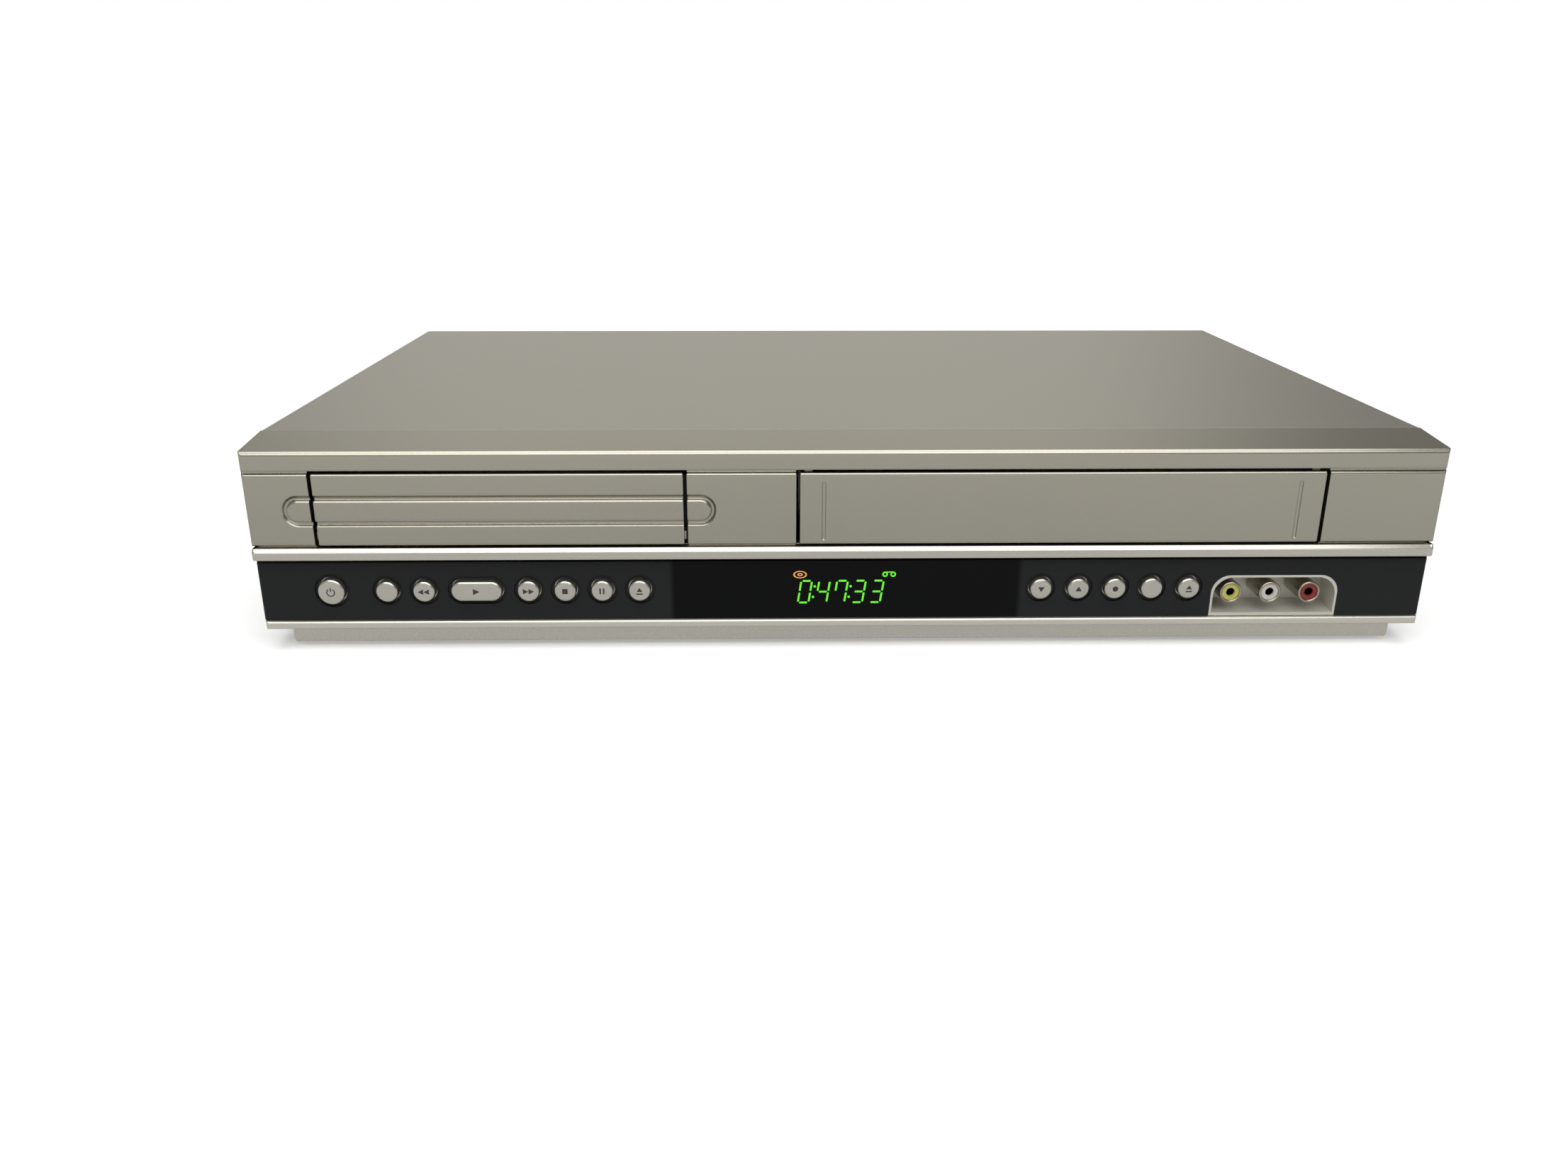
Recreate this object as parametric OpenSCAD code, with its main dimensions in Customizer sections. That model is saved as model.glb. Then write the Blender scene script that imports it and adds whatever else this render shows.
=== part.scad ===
// Disc and tape combination player: flat steel case, moulded front, disc loader and cassette deck.
// Frame: +X to the right seen from the front, +Y to the back, +Z up.
// Origin: on the floor, under the middle of the whole player.

/* [Case] */
// Width over the front moulding
case_w = 435; // [425:1:450]
// Height from the floor to the top
case_h = 79; // [78:0.5:84]
// Depth from the front face to the rear panel
case_d = 264; // [258:1:300]
// Thickness of the steel sheet
sheet_t = 0.8; // [0.6:0.1:1.2]
// How far the steel cover stands inside the front moulding on each side
cover_inset = 1; // [0.6:0.1:2]
// Radius of the cover's bent edges
cover_r = 2; // [1:0.5:3]
// Height of the feet
foot_h = 2.5; // [2:0.5:6]
// Radius of a foot
foot_r = 9; // [6:0.5:12]

/* [Front moulding] */
// Wall of the front moulding
wall_t = 2.4; // [2:0.1:3]
// Depth of the front moulding's hood and sides
hood_d = 24; // [20:1:30]
// Fall of the hood's top from the cover to its front edge
hood_drop = 2.3; // [1.5:0.1:2.6]
// Radius of the hood's long front edge
hood_r = 1.9; // [1:0.1:2.2]
// Radius of the upright front corners
corner_r = 1.2; // [0.8:0.1:2]
// Height of the hood's front face
hood_h = 9.3; // [8:0.1:10]
// Height of the shadow line under the hood
groove_h = 1.1; // [0.8:0.1:1.5]
// Height of the doors
door_h = 27.2; // [26.5:0.1:28]
// Radius of the doors' long edges
door_r = 1; // [0.5:0.1:1.5]
// Gap on each side of a door
door_gap = 1.4; // [1:0.1:2]
// Middle of the disc tray front
disc_x = -126.2; // [-128:0.2:-124]
// Width of the disc tray front
tray_front_w = 133; // [132:0.5:135]
// Middle of the cassette door
tape_x = 78.1; // [77:0.1:79]
// Width of the cassette door
flap_w = 191; // [190.5:0.1:191.5]
// Length of the oval rib across the disc tray front
rib_w = 157; // [150:1:160]
// Height of the sunk oval round the rib
rib_h = 11.8; // [11:0.1:12.4]
// Height of the rib
rib_bar_h = 8.2; // [7.4:0.1:8.6]
// Height of the rib above the front face
rib_proud = 0.6; // [0.4:0.1:0.8]

/* [Rails and panel] */
// Height of the bright rail under the doors
rail_h = 4.5; // [4:0.1:5]
// How far the rail stands out of the front
rail_proud = 1.2; // [0.8:0.1:2]
// Gap between the doors and the rail
rail_gap = 0.7; // [0.5:0.1:1]
// Height of the control panel
panel_h = 24.2; // [24:0.1:25]
// Setback of the control panel
panel_back = 2; // [1:0.1:3]
// Thickness of the control panel
panel_t = 2; // [1.6:0.1:2.4]
// Height of the lower rail
sill_h = 2.6; // [2:0.1:3]
// Setback of the plinth under the lower rail
plinth_back = 4; // [2:0.5:6]
// Gap from the side of the front to the plinth
plinth_side = 9.5; // [6:0.5:14]

/* [Buttons] */
// Radius of the standby button
standby_r = 5; // [4.6:0.1:5.4]
// Radius of a small button
key_r = 4.1; // [3.8:0.1:4.4]
// Length of the play button
play_w = 18.9; // [16:0.1:20]
// Height of the play button
play_h = 7.8; // [7:0.1:8.6]
// How far the buttons stand out of the panel
key_proud = 1.9; // [1.5:0.1:2.5]
// Travel of a button
key_travel = 0.8; // [0.5:0.1:1]
// Clearance round a button
key_gap = 0.35; // [0.25:0.05:0.5]
// Depth of the dish round a button
key_dish = 0.9; // [0.4:0.1:1.1]
// Height of the button row above the floor
key_z = 23.4; // [23:0.1:23.8]
// Distance from the left side to the standby button
standby_side = 26.6; // [26:0.1:27]
// Distance from the left side to the play button
play_side = 80.2; // [80:0.1:80.6]

/* [Sockets] */
// Radius of a phono socket's shell
phono_r = 4.15; // [4:0.05:4.3]
// Spacing of the front phono sockets
phono_pitch = 14.8; // [14:0.1:15]
// Distance from the right side to the middle of the front socket recess
recess_side = 56.1; // [55:0.1:57]
// Width of the front socket recess
recess_w = 47.9; // [46:0.1:48]
// Depth of the front socket recess
recess_d = 12.5; // [12:0.5:15]
// Length of the rear phono sockets outside the rear panel
jack_out = 9; // [8:0.5:10]

/* [Disc loader] */
// Radius of the disc's recess in the tray
disc_r = 60.5; // [60.2:0.1:61]
// Travel of the tray
tray_travel = 128; // [120:1:130]
// Length of the tray
tray_l = 160; // [158:1:166]
// Width of the tray
tray_w = 129; // [128:0.5:130]
// Height of the tray's underside above the floor
tray_z = 50; // [49:0.5:51]
// Gear module of the tray's rack
rack_m = 1.5; // [1.5:0.1:1.6]
// Teeth of the pinion that drives the rack
pinion_n = 16; // [15:1:17]
// Travel of the pickup
sled_travel = 34; // [30:1:36]

/* [Cassette deck] */
// Width of a cassette
tape_w = 187; // [186.5:0.1:187.5]
// Depth of a cassette
tape_d = 104; // [100:1:106]
// Height of a cassette
tape_h = 25; // [24.5:0.1:25.3]
// Travel of the cassette basket
basket_travel = 46; // [40:1:50]
// Spacing of the tape reels
reel_pitch = 92; // [88:1:94]
// Radius of the head drum
drum_r = 31; // [28:0.5:32]
// Tilt of the head drum in degrees
drum_tilt = 5.6; // [4:0.1:6]

/* [Hidden] */
$fn = 48;
eps = 0.01;
fit = 0.3;          // gap between pieces of different bodies that lie side by side
shaft_fit = 0.05;   // radial clearance of a shaft in its bearing
front_y = -(case_d + jack_out + rail_proud) / 2 + rail_proud;
rear_y = front_y + case_d;
case_z = foot_h;
hood_z = case_h - hood_h;
door_top = hood_z - groove_h;
door_z = door_top - door_h;
rail_z = door_z - rail_gap - rail_h;
panel_top = rail_z - 0.2;
panel_z = panel_top - panel_h;
sill_z = panel_z - sill_h;
cover_y = front_y + hood_d + fit;
cover_w = case_w - 2 * cover_inset;
floor_z = case_z + sheet_t;
inner_w = cover_w - 2 * sheet_t - 2 * 0.1;
disc_open_w = tray_front_w + 2 * door_gap;
tape_open_w = flap_w + 2 * door_gap;
flap_axis_y = front_y + 5;
flap_axis_z = case_h - 7.1;
left = -case_w / 2;
right = case_w / 2;

// ---- small shapes ----
module rrect(w, h, r) {
    square([w - 2 * r, h], center = true);
    square([w, h - 2 * r], center = true);
    for (sx = [-1, 1], sy = [-1, 1])
        translate([sx * (w / 2 - r), sy * (h / 2 - r)]) circle(r);
}

// Oval with round ends, longer along X.
module pill(w, h) {
    square([w - h, h], center = true);
    for (sx = [-1, 1]) translate([sx * (w - h) / 2, 0]) circle(h / 2);
}

// Oval bead with rounded edges, from y = 0 backwards, longer along X.
module bead(w, h, d, edge) {
    for (sx = [-1, 1]) translate([sx * (w - h) / 2, 0, 0]) rotate([-90, 0, 0])
        rotate_extrude() cap_profile(h / 2, d, edge);
    translate([0, 0, -h / 2]) along_x(w - h) nosed(d, h, edge);
}

// Oval hollow with sloped walls, from a face at y = 0 backwards, longer along X.
module sloped_oval(w, h, d, slope) {
    for (sx = [-1, 1]) translate([sx * (w - h) / 2, 0, 0]) rotate([-90, 0, 0])
        rotate_extrude() polygon([[0, -1], [h / 2, -1], [h / 2, 0], [h / 2 - slope, d], [0, d]]);
    along_x(w - h) polygon([[-1, -h / 2], [0, -h / 2], [d, slope - h / 2], [d, h / 2 - slope],
        [0, h / 2], [-1, h / 2]]);
}

// Round cap with a rounded edge, from its flat face backwards.
module cap_profile(r, h, edge) {
    square([r - edge, h]);
    translate([0, edge]) square([r, h - edge]);
    translate([r - edge, edge]) circle(edge);
}

// Box from its middle in X, its low Y and its low Z.
module xbox(w, d, h) {
    translate([-w / 2, 0, 0]) cube([w, d, h]);
}

// Extrude a drawing whose plane is X and Z backwards along Y.
module along_y(d) {
    translate([0, d, 0]) rotate([90, 0, 0]) linear_extrude(d) children();
}

// Extrude a drawing whose plane is Y and Z along X, centred.
module along_x(w) {
    rotate([90, 0, 90]) translate([0, 0, -w / 2]) linear_extrude(w) children();
}

// Cylinder whose axis runs back along Y.
module ycyl(r, d) {
    rotate([-90, 0, 0]) cylinder(r = r, h = d);
}

// Tube whose axis is Z.
module tube(ro, ri, h) {
    difference() {
        cylinder(r = ro, h = h);
        translate([0, 0, -1]) cylinder(r = ri, h = h + 2);
    }
}

// Square with its front upper and front lower corners rounded (Y to the back, Z up).
module nosed(d, h, r) {
    translate([r, 0]) square([d - r, h]);
    translate([0, r]) square([r + eps, h - 2 * r]);
    for (z = [r, h - r]) translate([r, z]) circle(r);
}

// Half the angle of a tooth on its pitch circle, in degrees.
function half_tooth(n, m, slack) = 90 / n - slack / (n * m) * 57.3;

// Toothed wheel with its first tooth along +X.
module wheel(n, m, slack, h) {
    pitch = n * m / 2;
    radii = [pitch - 1.3 * m, pitch, pitch + 0.85 * m];
    angles = half_tooth(n, m, slack) * [1.5, 1, 0.45];
    linear_extrude(h) {
        circle(pitch - 1.15 * m);
        for (i = [0 : n - 1]) rotate(360 * i / n) polygon([
            for (side = [-1, 1], step = [0 : 2])
                let (k = side < 0 ? step : 2 - step)
                radii[k] * [cos(side * angles[k]), sin(side * angles[k])]
        ]);
    }
}

// Rack of teeth that point along +X, from y = 0 upwards; the first gap is at y = 0.
module rack(count, m, slack, back, h) {
    pitch = PI * m;
    linear_extrude(h) {
        translate([-1.25 * m - back, -pitch / 2]) square([back, (count + 1) * pitch]);
        for (i = [0 : count - 1]) translate([0, (i + 0.5) * pitch]) polygon([
            [-1.3 * m, -pitch * 0.39], [0, -pitch / 4 + slack / 2], [0.85 * m, -pitch * 0.13],
            [0.85 * m, pitch * 0.13], [0, pitch / 4 - slack / 2], [-1.3 * m, pitch * 0.39]
        ]);
    }
}

// ---- case ----
foot_x = case_w / 2 - 42;
foot_y = [front_y + 38, rear_y - 34];

module feet() {
    color("dimgray")
    for (sx = [-1, 1], y = foot_y) translate([sx * foot_x, y, 0]) {
        cylinder(r = foot_r, h = foot_h - 0.8);
        cylinder(r = foot_r - 1.2, h = foot_h);
        translate([0, 0, foot_h - eps]) cylinder(r = 2, h = sheet_t);
    }
}

module slots(n, pitch, w, l) {
    for (i = [0 : n - 1]) translate([(i - (n - 1) / 2) * pitch, 0]) rotate(90) pill(l, w);
}

chassis_y = front_y + hood_d + fit;
chassis_l = rear_y - sheet_t - chassis_y - 0.1;
chassis_lip = 12;

module bottom_chassis() {
    color("silver") difference() {
        union() {
            translate([0, chassis_y, case_z]) xbox(inner_w, chassis_l, sheet_t);
            for (sx = [-1, 1]) translate([sx * (inner_w - sheet_t) / 2, chassis_y, case_z])
                xbox(sheet_t, chassis_l, chassis_lip);
            // pressed ribs that stiffen the floor
            for (x = [-115, 22, 112]) translate([x, chassis_y + 30, case_z])
                xbox(10, chassis_l - 60, sheet_t + 1.2);
        }
        for (x = [-165, -60, 60, 165], y = [-40, 5]) translate([x, y, case_z - 1])
            linear_extrude(sheet_t + 4) slots(9, 6, 2.6, 34);
        for (sx = [-1, 1], y = foot_y) translate([sx * foot_x, y, case_z - 1])
            cylinder(r = 2 + shaft_fit, h = 4);
    }
}

vent_n = 14;

module top_cover() {
    h = case_h - case_z - 0.3;
    l = rear_y - cover_y;
    color("silver") difference() {
        translate([0, cover_y, case_z + h / 2]) along_y(l) difference() {
            union() {
                rrect(cover_w, h, cover_r);
                translate([0, -h / 4]) square([cover_w, h / 2], center = true);
            }
            translate([0, -sheet_t]) {
                rrect(cover_w - 2 * sheet_t, h, cover_r - sheet_t);
                translate([0, -h / 4 - 1]) square([cover_w - 2 * sheet_t, h / 2 + 2], center = true);
            }
        }
        // rows of cooling slots in both sides
        for (sx = [-1, 1], z = [32, 50]) translate([sx * cover_w / 2, rear_y - 80, z])
            rotate([90, 0, 90]) translate([0, 0, -3]) linear_extrude(6) slots(vent_n, 7, 2.4, 13);
        // screw holes low on both sides
        for (sx = [-1, 1], y = [front_y + 60, rear_y - 30])
            translate([sx * cover_w / 2, y, case_z + 8]) rotate([0, 90, 0])
                cylinder(r = 1.7, h = 4, center = true);
    }
}

// ---- front moulding ----
// Outline seen from above with rounded front corners.
module plan(w, y, d, r) {
    translate([-w / 2, y + r]) square([w, d - r]);
    translate([-w / 2 + r, y]) square([w - 2 * r, r + eps]);
    for (sx = [-1, 1]) translate([sx * (w / 2 - r), y + r]) circle(r);
}

block_spans = [
    [-case_w / 2, disc_x - disc_open_w / 2],
    [disc_x + disc_open_w / 2, tape_x - tape_open_w / 2],
    [tape_x + tape_open_w / 2, case_w / 2]
];
side_y = front_y + 12;      // the moulding's low side walls start behind the panel's returns
bar_y = front_y + 4;        // front of the cross bars that carry the rails and the panel
bar_d = 3;
rib_x = disc_x;
rib_z = door_top - 13.9;
rib_edge = 1;
rib_deep = 0.9;             // depth of the sunk oval
rib_slope = 0.9;            // how far its walls lean in
rib_back = wall_t / 2 + 0.3;

// Sunk oval with a raised rib in it, cut from and added to a face at front_y.
module rib_sink() {
    translate([rib_x, front_y, rib_z]) sloped_oval(rib_w, rib_h, rib_deep, rib_slope);
}
module rib_bar() {
    translate([rib_x, front_y - rib_proud, rib_z])
        bead(rib_w - rib_h + rib_bar_h, rib_bar_h, rib_back + rib_proud, rib_edge);
}
module with_rib(x0, x1) {
    difference() {
        children();
        rib_sink();
    }
    intersection() {
        rib_bar();
        translate([x0, front_y - 5, door_z]) cube([x1 - x0, 10, door_h]);
    }
}

// Side view of the hood's solid: a top that falls to a rounded front edge (Y to the back, Z up).
module hood_side() {
    fall = atan(hood_drop / hood_d);
    mid_z = case_h - (hood_d - hood_r) * tan(fall) - hood_r / cos(fall);
    touch = hood_r - eps;
    translate([hood_r, mid_z]) circle(hood_r);
    polygon([[0, 0], [0, mid_z], [hood_r, mid_z], [hood_r - touch * sin(fall), mid_z + touch * cos(fall)],
        [hood_d, case_h], [hood_d, 0]]);
}

// Inside of the hood, a wall's thickness from its outside.
module hood_hollow() {
    polygon([[wall_t, -1], [wall_t, case_h - hood_drop * (1 - wall_t / hood_d) - wall_t],
        [hood_d + 1, case_h - wall_t + hood_drop / hood_d], [hood_d + 1, -1]]);
}

module front_bezel() {
    inner = case_w - 2 * wall_t;
    color("darkgray") {
        difference() {
            intersection() {
                translate([0, 0, sill_z]) linear_extrude(case_h - sill_z)
                    plan(case_w, front_y, hood_d, corner_r);
                translate([0, front_y, 0]) along_x(case_w) hood_side();
            }
            translate([0, front_y, 0]) along_x(inner) hood_hollow();
            // room for the rails, the panel and its returns
            translate([0, front_y - 1, 0]) xbox(case_w + 2, side_y - front_y + 1, door_z);
            // shadow line and the seat of the blocks
            translate([0, front_y - 1, door_z - 1])
                xbox(case_w + 2, 1 + wall_t / 2, hood_z - door_z + 1);
            translate([disc_x, front_y - 1, door_z - 1])
                xbox(disc_open_w, wall_t + 2, hood_z - door_z + 1);
            translate([tape_x, front_y - 1, door_z - 1])
                xbox(tape_open_w, wall_t + 2, hood_z - door_z + 1);
        }
        for (s = block_spans) with_rib(s[0], s[1]) intersection() {
            along_x(case_w * 2) translate([front_y, door_z]) nosed(wall_t, door_h, door_r);
            linear_extrude(case_h) plan(case_w, front_y, hood_d, corner_r);
            translate([s[0], front_y, 0]) cube([s[1] - s[0], hood_d, case_h]);
        }
        // webs that tie the blocks to the upper cross bar
        for (s = block_spans) intersection() {
            translate([s[0], front_y + wall_t / 2, rail_z + rail_h + eps])
                cube([s[1] - s[0], bar_y + bar_d - front_y - wall_t / 2, 3]);
            translate([0, front_y, 0]) xbox(inner + eps, hood_d, case_h);
        }
        translate([0, bar_y, panel_top]) xbox(inner + eps, bar_d, rail_z + rail_h - panel_top);
        translate([0, bar_y, sill_z + 2 * eps]) xbox(inner - 2 * panel_t, bar_d, sill_h - 2 * eps);
        // bearings of the cassette door's pins, hung from the hood
        for (sx = [-1, 1]) translate([tape_x + sx * (flap_w / 2 + 2.2), 0, 0]) difference() {
            translate([0, front_y + wall_t - eps, flap_axis_z - 3])
                xbox(3.2, 6.4, case_h - wall_t - flap_axis_z + 3 + eps);
            translate([0, flap_axis_y, flap_axis_z]) rotate([0, 90, 0])
                cylinder(r = flap_pin_r + shaft_fit, h = 8, center = true);
        }
        // corner posts between the cross bars and the low side walls
        for (sx = [-1, 1]) translate([sx * (inner / 2 - 3), bar_y, sill_z + 2 * eps])
            xbox(6 + eps, hood_d - 4, rail_z + rail_h - sill_z - 2 * eps);
    }
}

module tray_front() {
    x0 = disc_x - tray_front_w / 2;
    color("darkgray") {
        with_rib(x0, x0 + tray_front_w) translate([disc_x, front_y, door_z])
            along_x(tray_front_w) nosed(wall_t, door_h, door_r);
        // lugs at both ends, low down
        for (sx = [-1, 1]) translate([disc_x + sx * (tray_front_w / 2 + 0.4), front_y + 1.2, door_z + 2])
            xbox(0.8 + eps, 1.2, 3);
        // clips that hook onto the tray's nose
        for (sx = [-1, 1]) translate([disc_x + sx * 40, front_y + wall_t - eps, tray_z + 0.5])
            xbox(12, tray_y - front_y - wall_t, 5);
    }
}

flap_pin_r = 1.2;
flap_in = 3;        // the door's ears stand this far inside its ends
ear_r = 2;
groove_side = 8.7;   // the fine upright grooves stand this far inside the door's ends

module cassette_flap() {
    w = flap_w;
    color("darkgray") difference() {
        union() {
            translate([tape_x, front_y, door_z]) along_x(w) nosed(wall_t, door_h, door_r);
            for (sx = [-1, 1]) translate([tape_x + sx * (w / 2 - flap_in), 0, 0]) {
                along_x(3) polygon([
                    [front_y + wall_t - eps, flap_axis_z - 14], [front_y + wall_t - eps, door_top - 1],
                    [flap_axis_y - ear_r, flap_axis_z], [flap_axis_y + ear_r, flap_axis_z],
                    [flap_axis_y + ear_r, flap_axis_z - 9]
                ]);
                translate([0, flap_axis_y, flap_axis_z]) rotate([0, 90, 0])
                    cylinder(r = ear_r, h = 3, center = true);
                translate([0, flap_axis_y, flap_axis_z]) rotate([0, 90, 0])
                    cylinder(r = flap_pin_r, h = 2 * flap_in + 7, center = true);
            }
            // stiffening rib along the back
            translate([tape_x, front_y + wall_t - eps, door_z + 4]) xbox(w - 20, 1.2, 1.5);
        }
        // two fine upright grooves near the ends
        for (sx = [-1, 1]) translate([tape_x + sx * (w / 2 - groove_side), front_y - 1, door_top - 14.5])
            along_y(1.5) rotate(90) pill(21.8, 1.3);
    }
}

rail_end_r = 1.8;
module rail_profile(d) {
    lower = rail_h * 0.6;
    nosed(d, lower, 0.7);
    translate([0, lower + 0.15]) nosed(d, rail_h - lower - 0.15, 0.8);
    translate([0.5, 0.5]) square([d - 0.5, rail_h - 1]);
}

// Short returns that carry a rail round both corners, back to the low side walls.
module returns(w, z, h) {
    t = (w - case_w) / 2 + wall_t - 0.1;
    color("gainsboro") for (sx = [-1, 1]) translate([sx * (w - t) / 2, bar_y - 1, z])
        xbox(t, side_y - bar_y + 1 - 0.1, h);
}

module mid_rail() {
    d = bar_y - front_y + rail_proud;
    color("gainsboro") intersection() {
        translate([0, front_y - rail_proud, rail_z]) along_x(case_w) rail_profile(d);
        linear_extrude(case_h) plan(case_w, front_y - rail_proud, hood_d, rail_end_r);
    }
    returns(case_w, rail_z + 0.2, rail_h - 0.4);
}

module lower_trim() {
    w = case_w - 2 * plinth_side;
    color("darkgray") {
        intersection() {
            translate([0, front_y + 0.4, sill_z]) along_x(case_w)
                nosed(bar_y - front_y - 0.4, sill_h - 0.1, 0.9);
            linear_extrude(case_h) plan(case_w - 1, front_y + 0.4, hood_d, rail_end_r);
        }
        translate([0, front_y + plinth_back, (case_z + sill_z) / 2]) difference() {
            along_y(chassis_y - front_y - plinth_back - 0.1) {
                rrect(w, sill_z - case_z, 2.8);
                translate([0, 1.6]) square([w, sill_z - case_z - 3.2 + 2 * eps], center = true);
            }
            translate([0, 1.8, 1.2 - (sill_z - case_z) / 2]) xbox(w - 4, hood_d, sill_z);
        }
        returns(case_w - 1, sill_z, sill_h - 0.2);
        // lip that ties the plinth to the sill
        translate([0, front_y + plinth_back - 1, sill_z]) xbox(w, 1, 1);
    }
}

// ---- control panel, buttons and front sockets ----
panel_y = front_y + panel_back;
recess_top = panel_z + 16.2;
recess_r = 7;
recess_wall = 0.9;
recess_y = panel_y + recess_d;      // front of the recess's back wall
board_y = recess_y + recess_wall + 3;
board_t = 1.6;
plunger_l = 1;
switch_d = 4.3;

// Middle of each small round button along X, measured from the nearer side of the case.
keys = concat([for (d = [47.1, 60.8, 99.4, 113, 126.7, 140.6]) left + d],
    [for (d = [144.6, 130.6, 116.8, 103, 89.1]) right - d]);
standby_x = left + standby_side;
play_x = left + play_side;
recess_x = right - recess_side;

// Opening of the socket recess (X to the right, Z up), open at the bottom.
module recess_outline(inset) {
    w = recess_w - 2 * inset;
    top = recess_top - inset;
    translate([-w / 2, panel_z - 1]) square([w, top - recess_r - panel_z + 1]);
    translate([-w / 2 + recess_r, panel_z - 1]) square([w - 2 * recess_r, top - panel_z + 1]);
    for (sx = [-1, 1]) translate([sx * (w / 2 - recess_r), top - recess_r]) circle(recess_r);
}

dish_w = 1.5;       // width of the dish round a button
module control_panel() {
    color("black") difference() {
        translate([0, 0, panel_z + 0.05]) linear_extrude(panel_h - 0.05) difference() {
            plan(case_w, panel_y, side_y - panel_y, 1);
            plan(case_w - 2 * panel_t, panel_y + panel_t, hood_d, 0.3);
        }
        translate([0, panel_y - 1, panel_top - 1.6]) xbox(case_w, 2, 2);
        for (k = concat([[standby_x, standby_r]], [for (x = keys) [x, key_r]]))
            translate([k[0], panel_y - 1, key_z]) {
                ycyl(k[1] + key_gap, panel_t + 2);
                ycyl(k[1] + dish_w, 1 + key_dish);
            }
        translate([play_x, panel_y - 1, key_z]) {
            along_y(panel_t + 2)
                pill(play_w + 2 * key_gap, play_h + 2 * key_gap);
            along_y(1 + key_dish) pill(play_w + 2 * dish_w, play_h + 2 * dish_w);
        }
        translate([recess_x, panel_y - 1, 0]) along_y(panel_t + 2) recess_outline(0);
    }
}

stem_y = board_y - switch_d - plunger_l - key_travel - 0.1;
flange_y = panel_y + panel_t + 0.2;
cap_edge = 1.1;
cap_l = flange_y - panel_y + key_proud + eps;

module key(x, r) {
    color("silver") translate([x, 0, key_z]) {
        translate([0, panel_y - key_proud, 0]) rotate([-90, 0, 0])
            rotate_extrude() cap_profile(r, cap_l, cap_edge);
        translate([0, flange_y, 0]) ycyl(r + 1, 1);
        translate([0, flange_y, 0]) ycyl(2, stem_y - flange_y);
    }
}

module button_play() {
    color("silver") translate([play_x, 0, key_z]) {
        translate([0, panel_y - key_proud, 0]) bead(play_w, play_h, cap_l, cap_edge);
        translate([0, flange_y, 0]) along_y(1) pill(play_w + 2, play_h + 2);
        translate([0, flange_y, 0]) ycyl(2, stem_y - flange_y);
    }
}

module av_recess() {
    lip = 0.2;
    depth = recess_y + recess_wall - panel_y + lip;
    color("darkgray") difference() {
        intersection() {
            translate([recess_x, panel_y - lip, 0]) along_y(depth) recess_outline(0.05);
            translate([recess_x, front_y, panel_z + 0.05]) xbox(recess_w, hood_d, case_h);
        }
        difference() {
            translate([recess_x, panel_y - 1, 0]) along_y(recess_y - panel_y + 1)
                recess_outline(recess_wall);
            // the floor keeps its thickness and slopes down to the front
            translate([recess_x, 0, 0]) along_x(recess_w) polygon([
                [panel_y - 2, 0], [recess_y + 1, 0],
                [recess_y + 1, panel_z + 2.6], [panel_y - 2, panel_z + 1]
            ]);
        }
        for (i = [-1 : 1]) translate([recess_x - 1.7 + i * phono_pitch, recess_y - 1, jack_z])
            ycyl(phono_r - shell_step + 0.05, recess_wall + 2);
    }
}

// Phono socket, axis along Y: metal shell, and the coloured insulator with its centre hole.
jack_z = case_h - 57.7;
jack_x = recess_x - 1.7;
jack_y = panel_y - 0.6;
shell_in = phono_r - 0.95;
pin_hole = 1.65;
shell_step = 0.6;   // a shell is this much smaller in radius behind its exposed length

// Shell of length l, at full radius only over the free length that a plug grips.
module phono_shell(l, free) {
    rotate([-90, 0, 0]) rotate_extrude() {
        translate([shell_in, 0.5]) square([phono_r - shell_in, free - 0.5]);
        translate([shell_in, free - eps]) square([phono_r - shell_step - shell_in, l - free + eps]);
        translate([shell_in + 0.475, 0.475]) circle(0.475);
    }
}
module phono_core(l) {
    rotate([-90, 0, 0]) translate([0, 0, 0.6]) tube(shell_in - 0.02, pin_hole, l - 0.6);
}

module front_jack_shells() {
    l = board_y - jack_y;
    color("silver") for (i = [-1 : 1]) translate([jack_x + i * phono_pitch, jack_y, jack_z]) {
        phono_shell(l - 0.1, recess_y - jack_y - 0.6);
        translate([0, recess_y + recess_wall + 0.05 - jack_y, 0]) rotate([-90, 0, 0])
            tube(phono_r + 1.4, phono_r - shell_step - eps, 1.2);
    }
}
module front_jack(i, paint) {
    color(paint) translate([jack_x + i * phono_pitch, jack_y, jack_z])
        phono_core(board_y - jack_y - 0.1);
}

board_z0 = floor_z + 2;
board_z1 = rail_z + 0.2;
board_half = inner_w / 2 - 10;

module front_board() {
    color("green") {
        translate([0, board_y, board_z0]) xbox(2 * board_half, board_t, board_z1 - board_z0);
        // tact switches and their plungers, one behind each button
        for (x = concat([standby_x, play_x], keys)) translate([x, board_y, key_z]) {
            translate([0, -switch_d, -3]) xbox(6, switch_d + eps, 6);
            translate([0, -switch_d - plunger_l, 0]) ycyl(1.7, plunger_l + eps);
        }
        // header sockets for the ribbon cables to the main board
        for (x = [-40, 40]) translate([x, board_y + board_t - eps, board_z0 + 4]) xbox(22, 6, 7);
    }
}

module display_tube() {
    y = panel_y + panel_t + 1.2;
    color("gray") {
        translate([-1.8, y, panel_z + 3]) xbox(74, 5, 17);
        translate([-1.8, y + 5 - eps, panel_z + 1.5]) xbox(78, board_y - y - 5, 20);
        translate([-1.8 + 37, y + 2.5, panel_z + 11]) rotate([0, 90, 0]) cylinder(r = 1.6, h = 4);
    }
}

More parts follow.
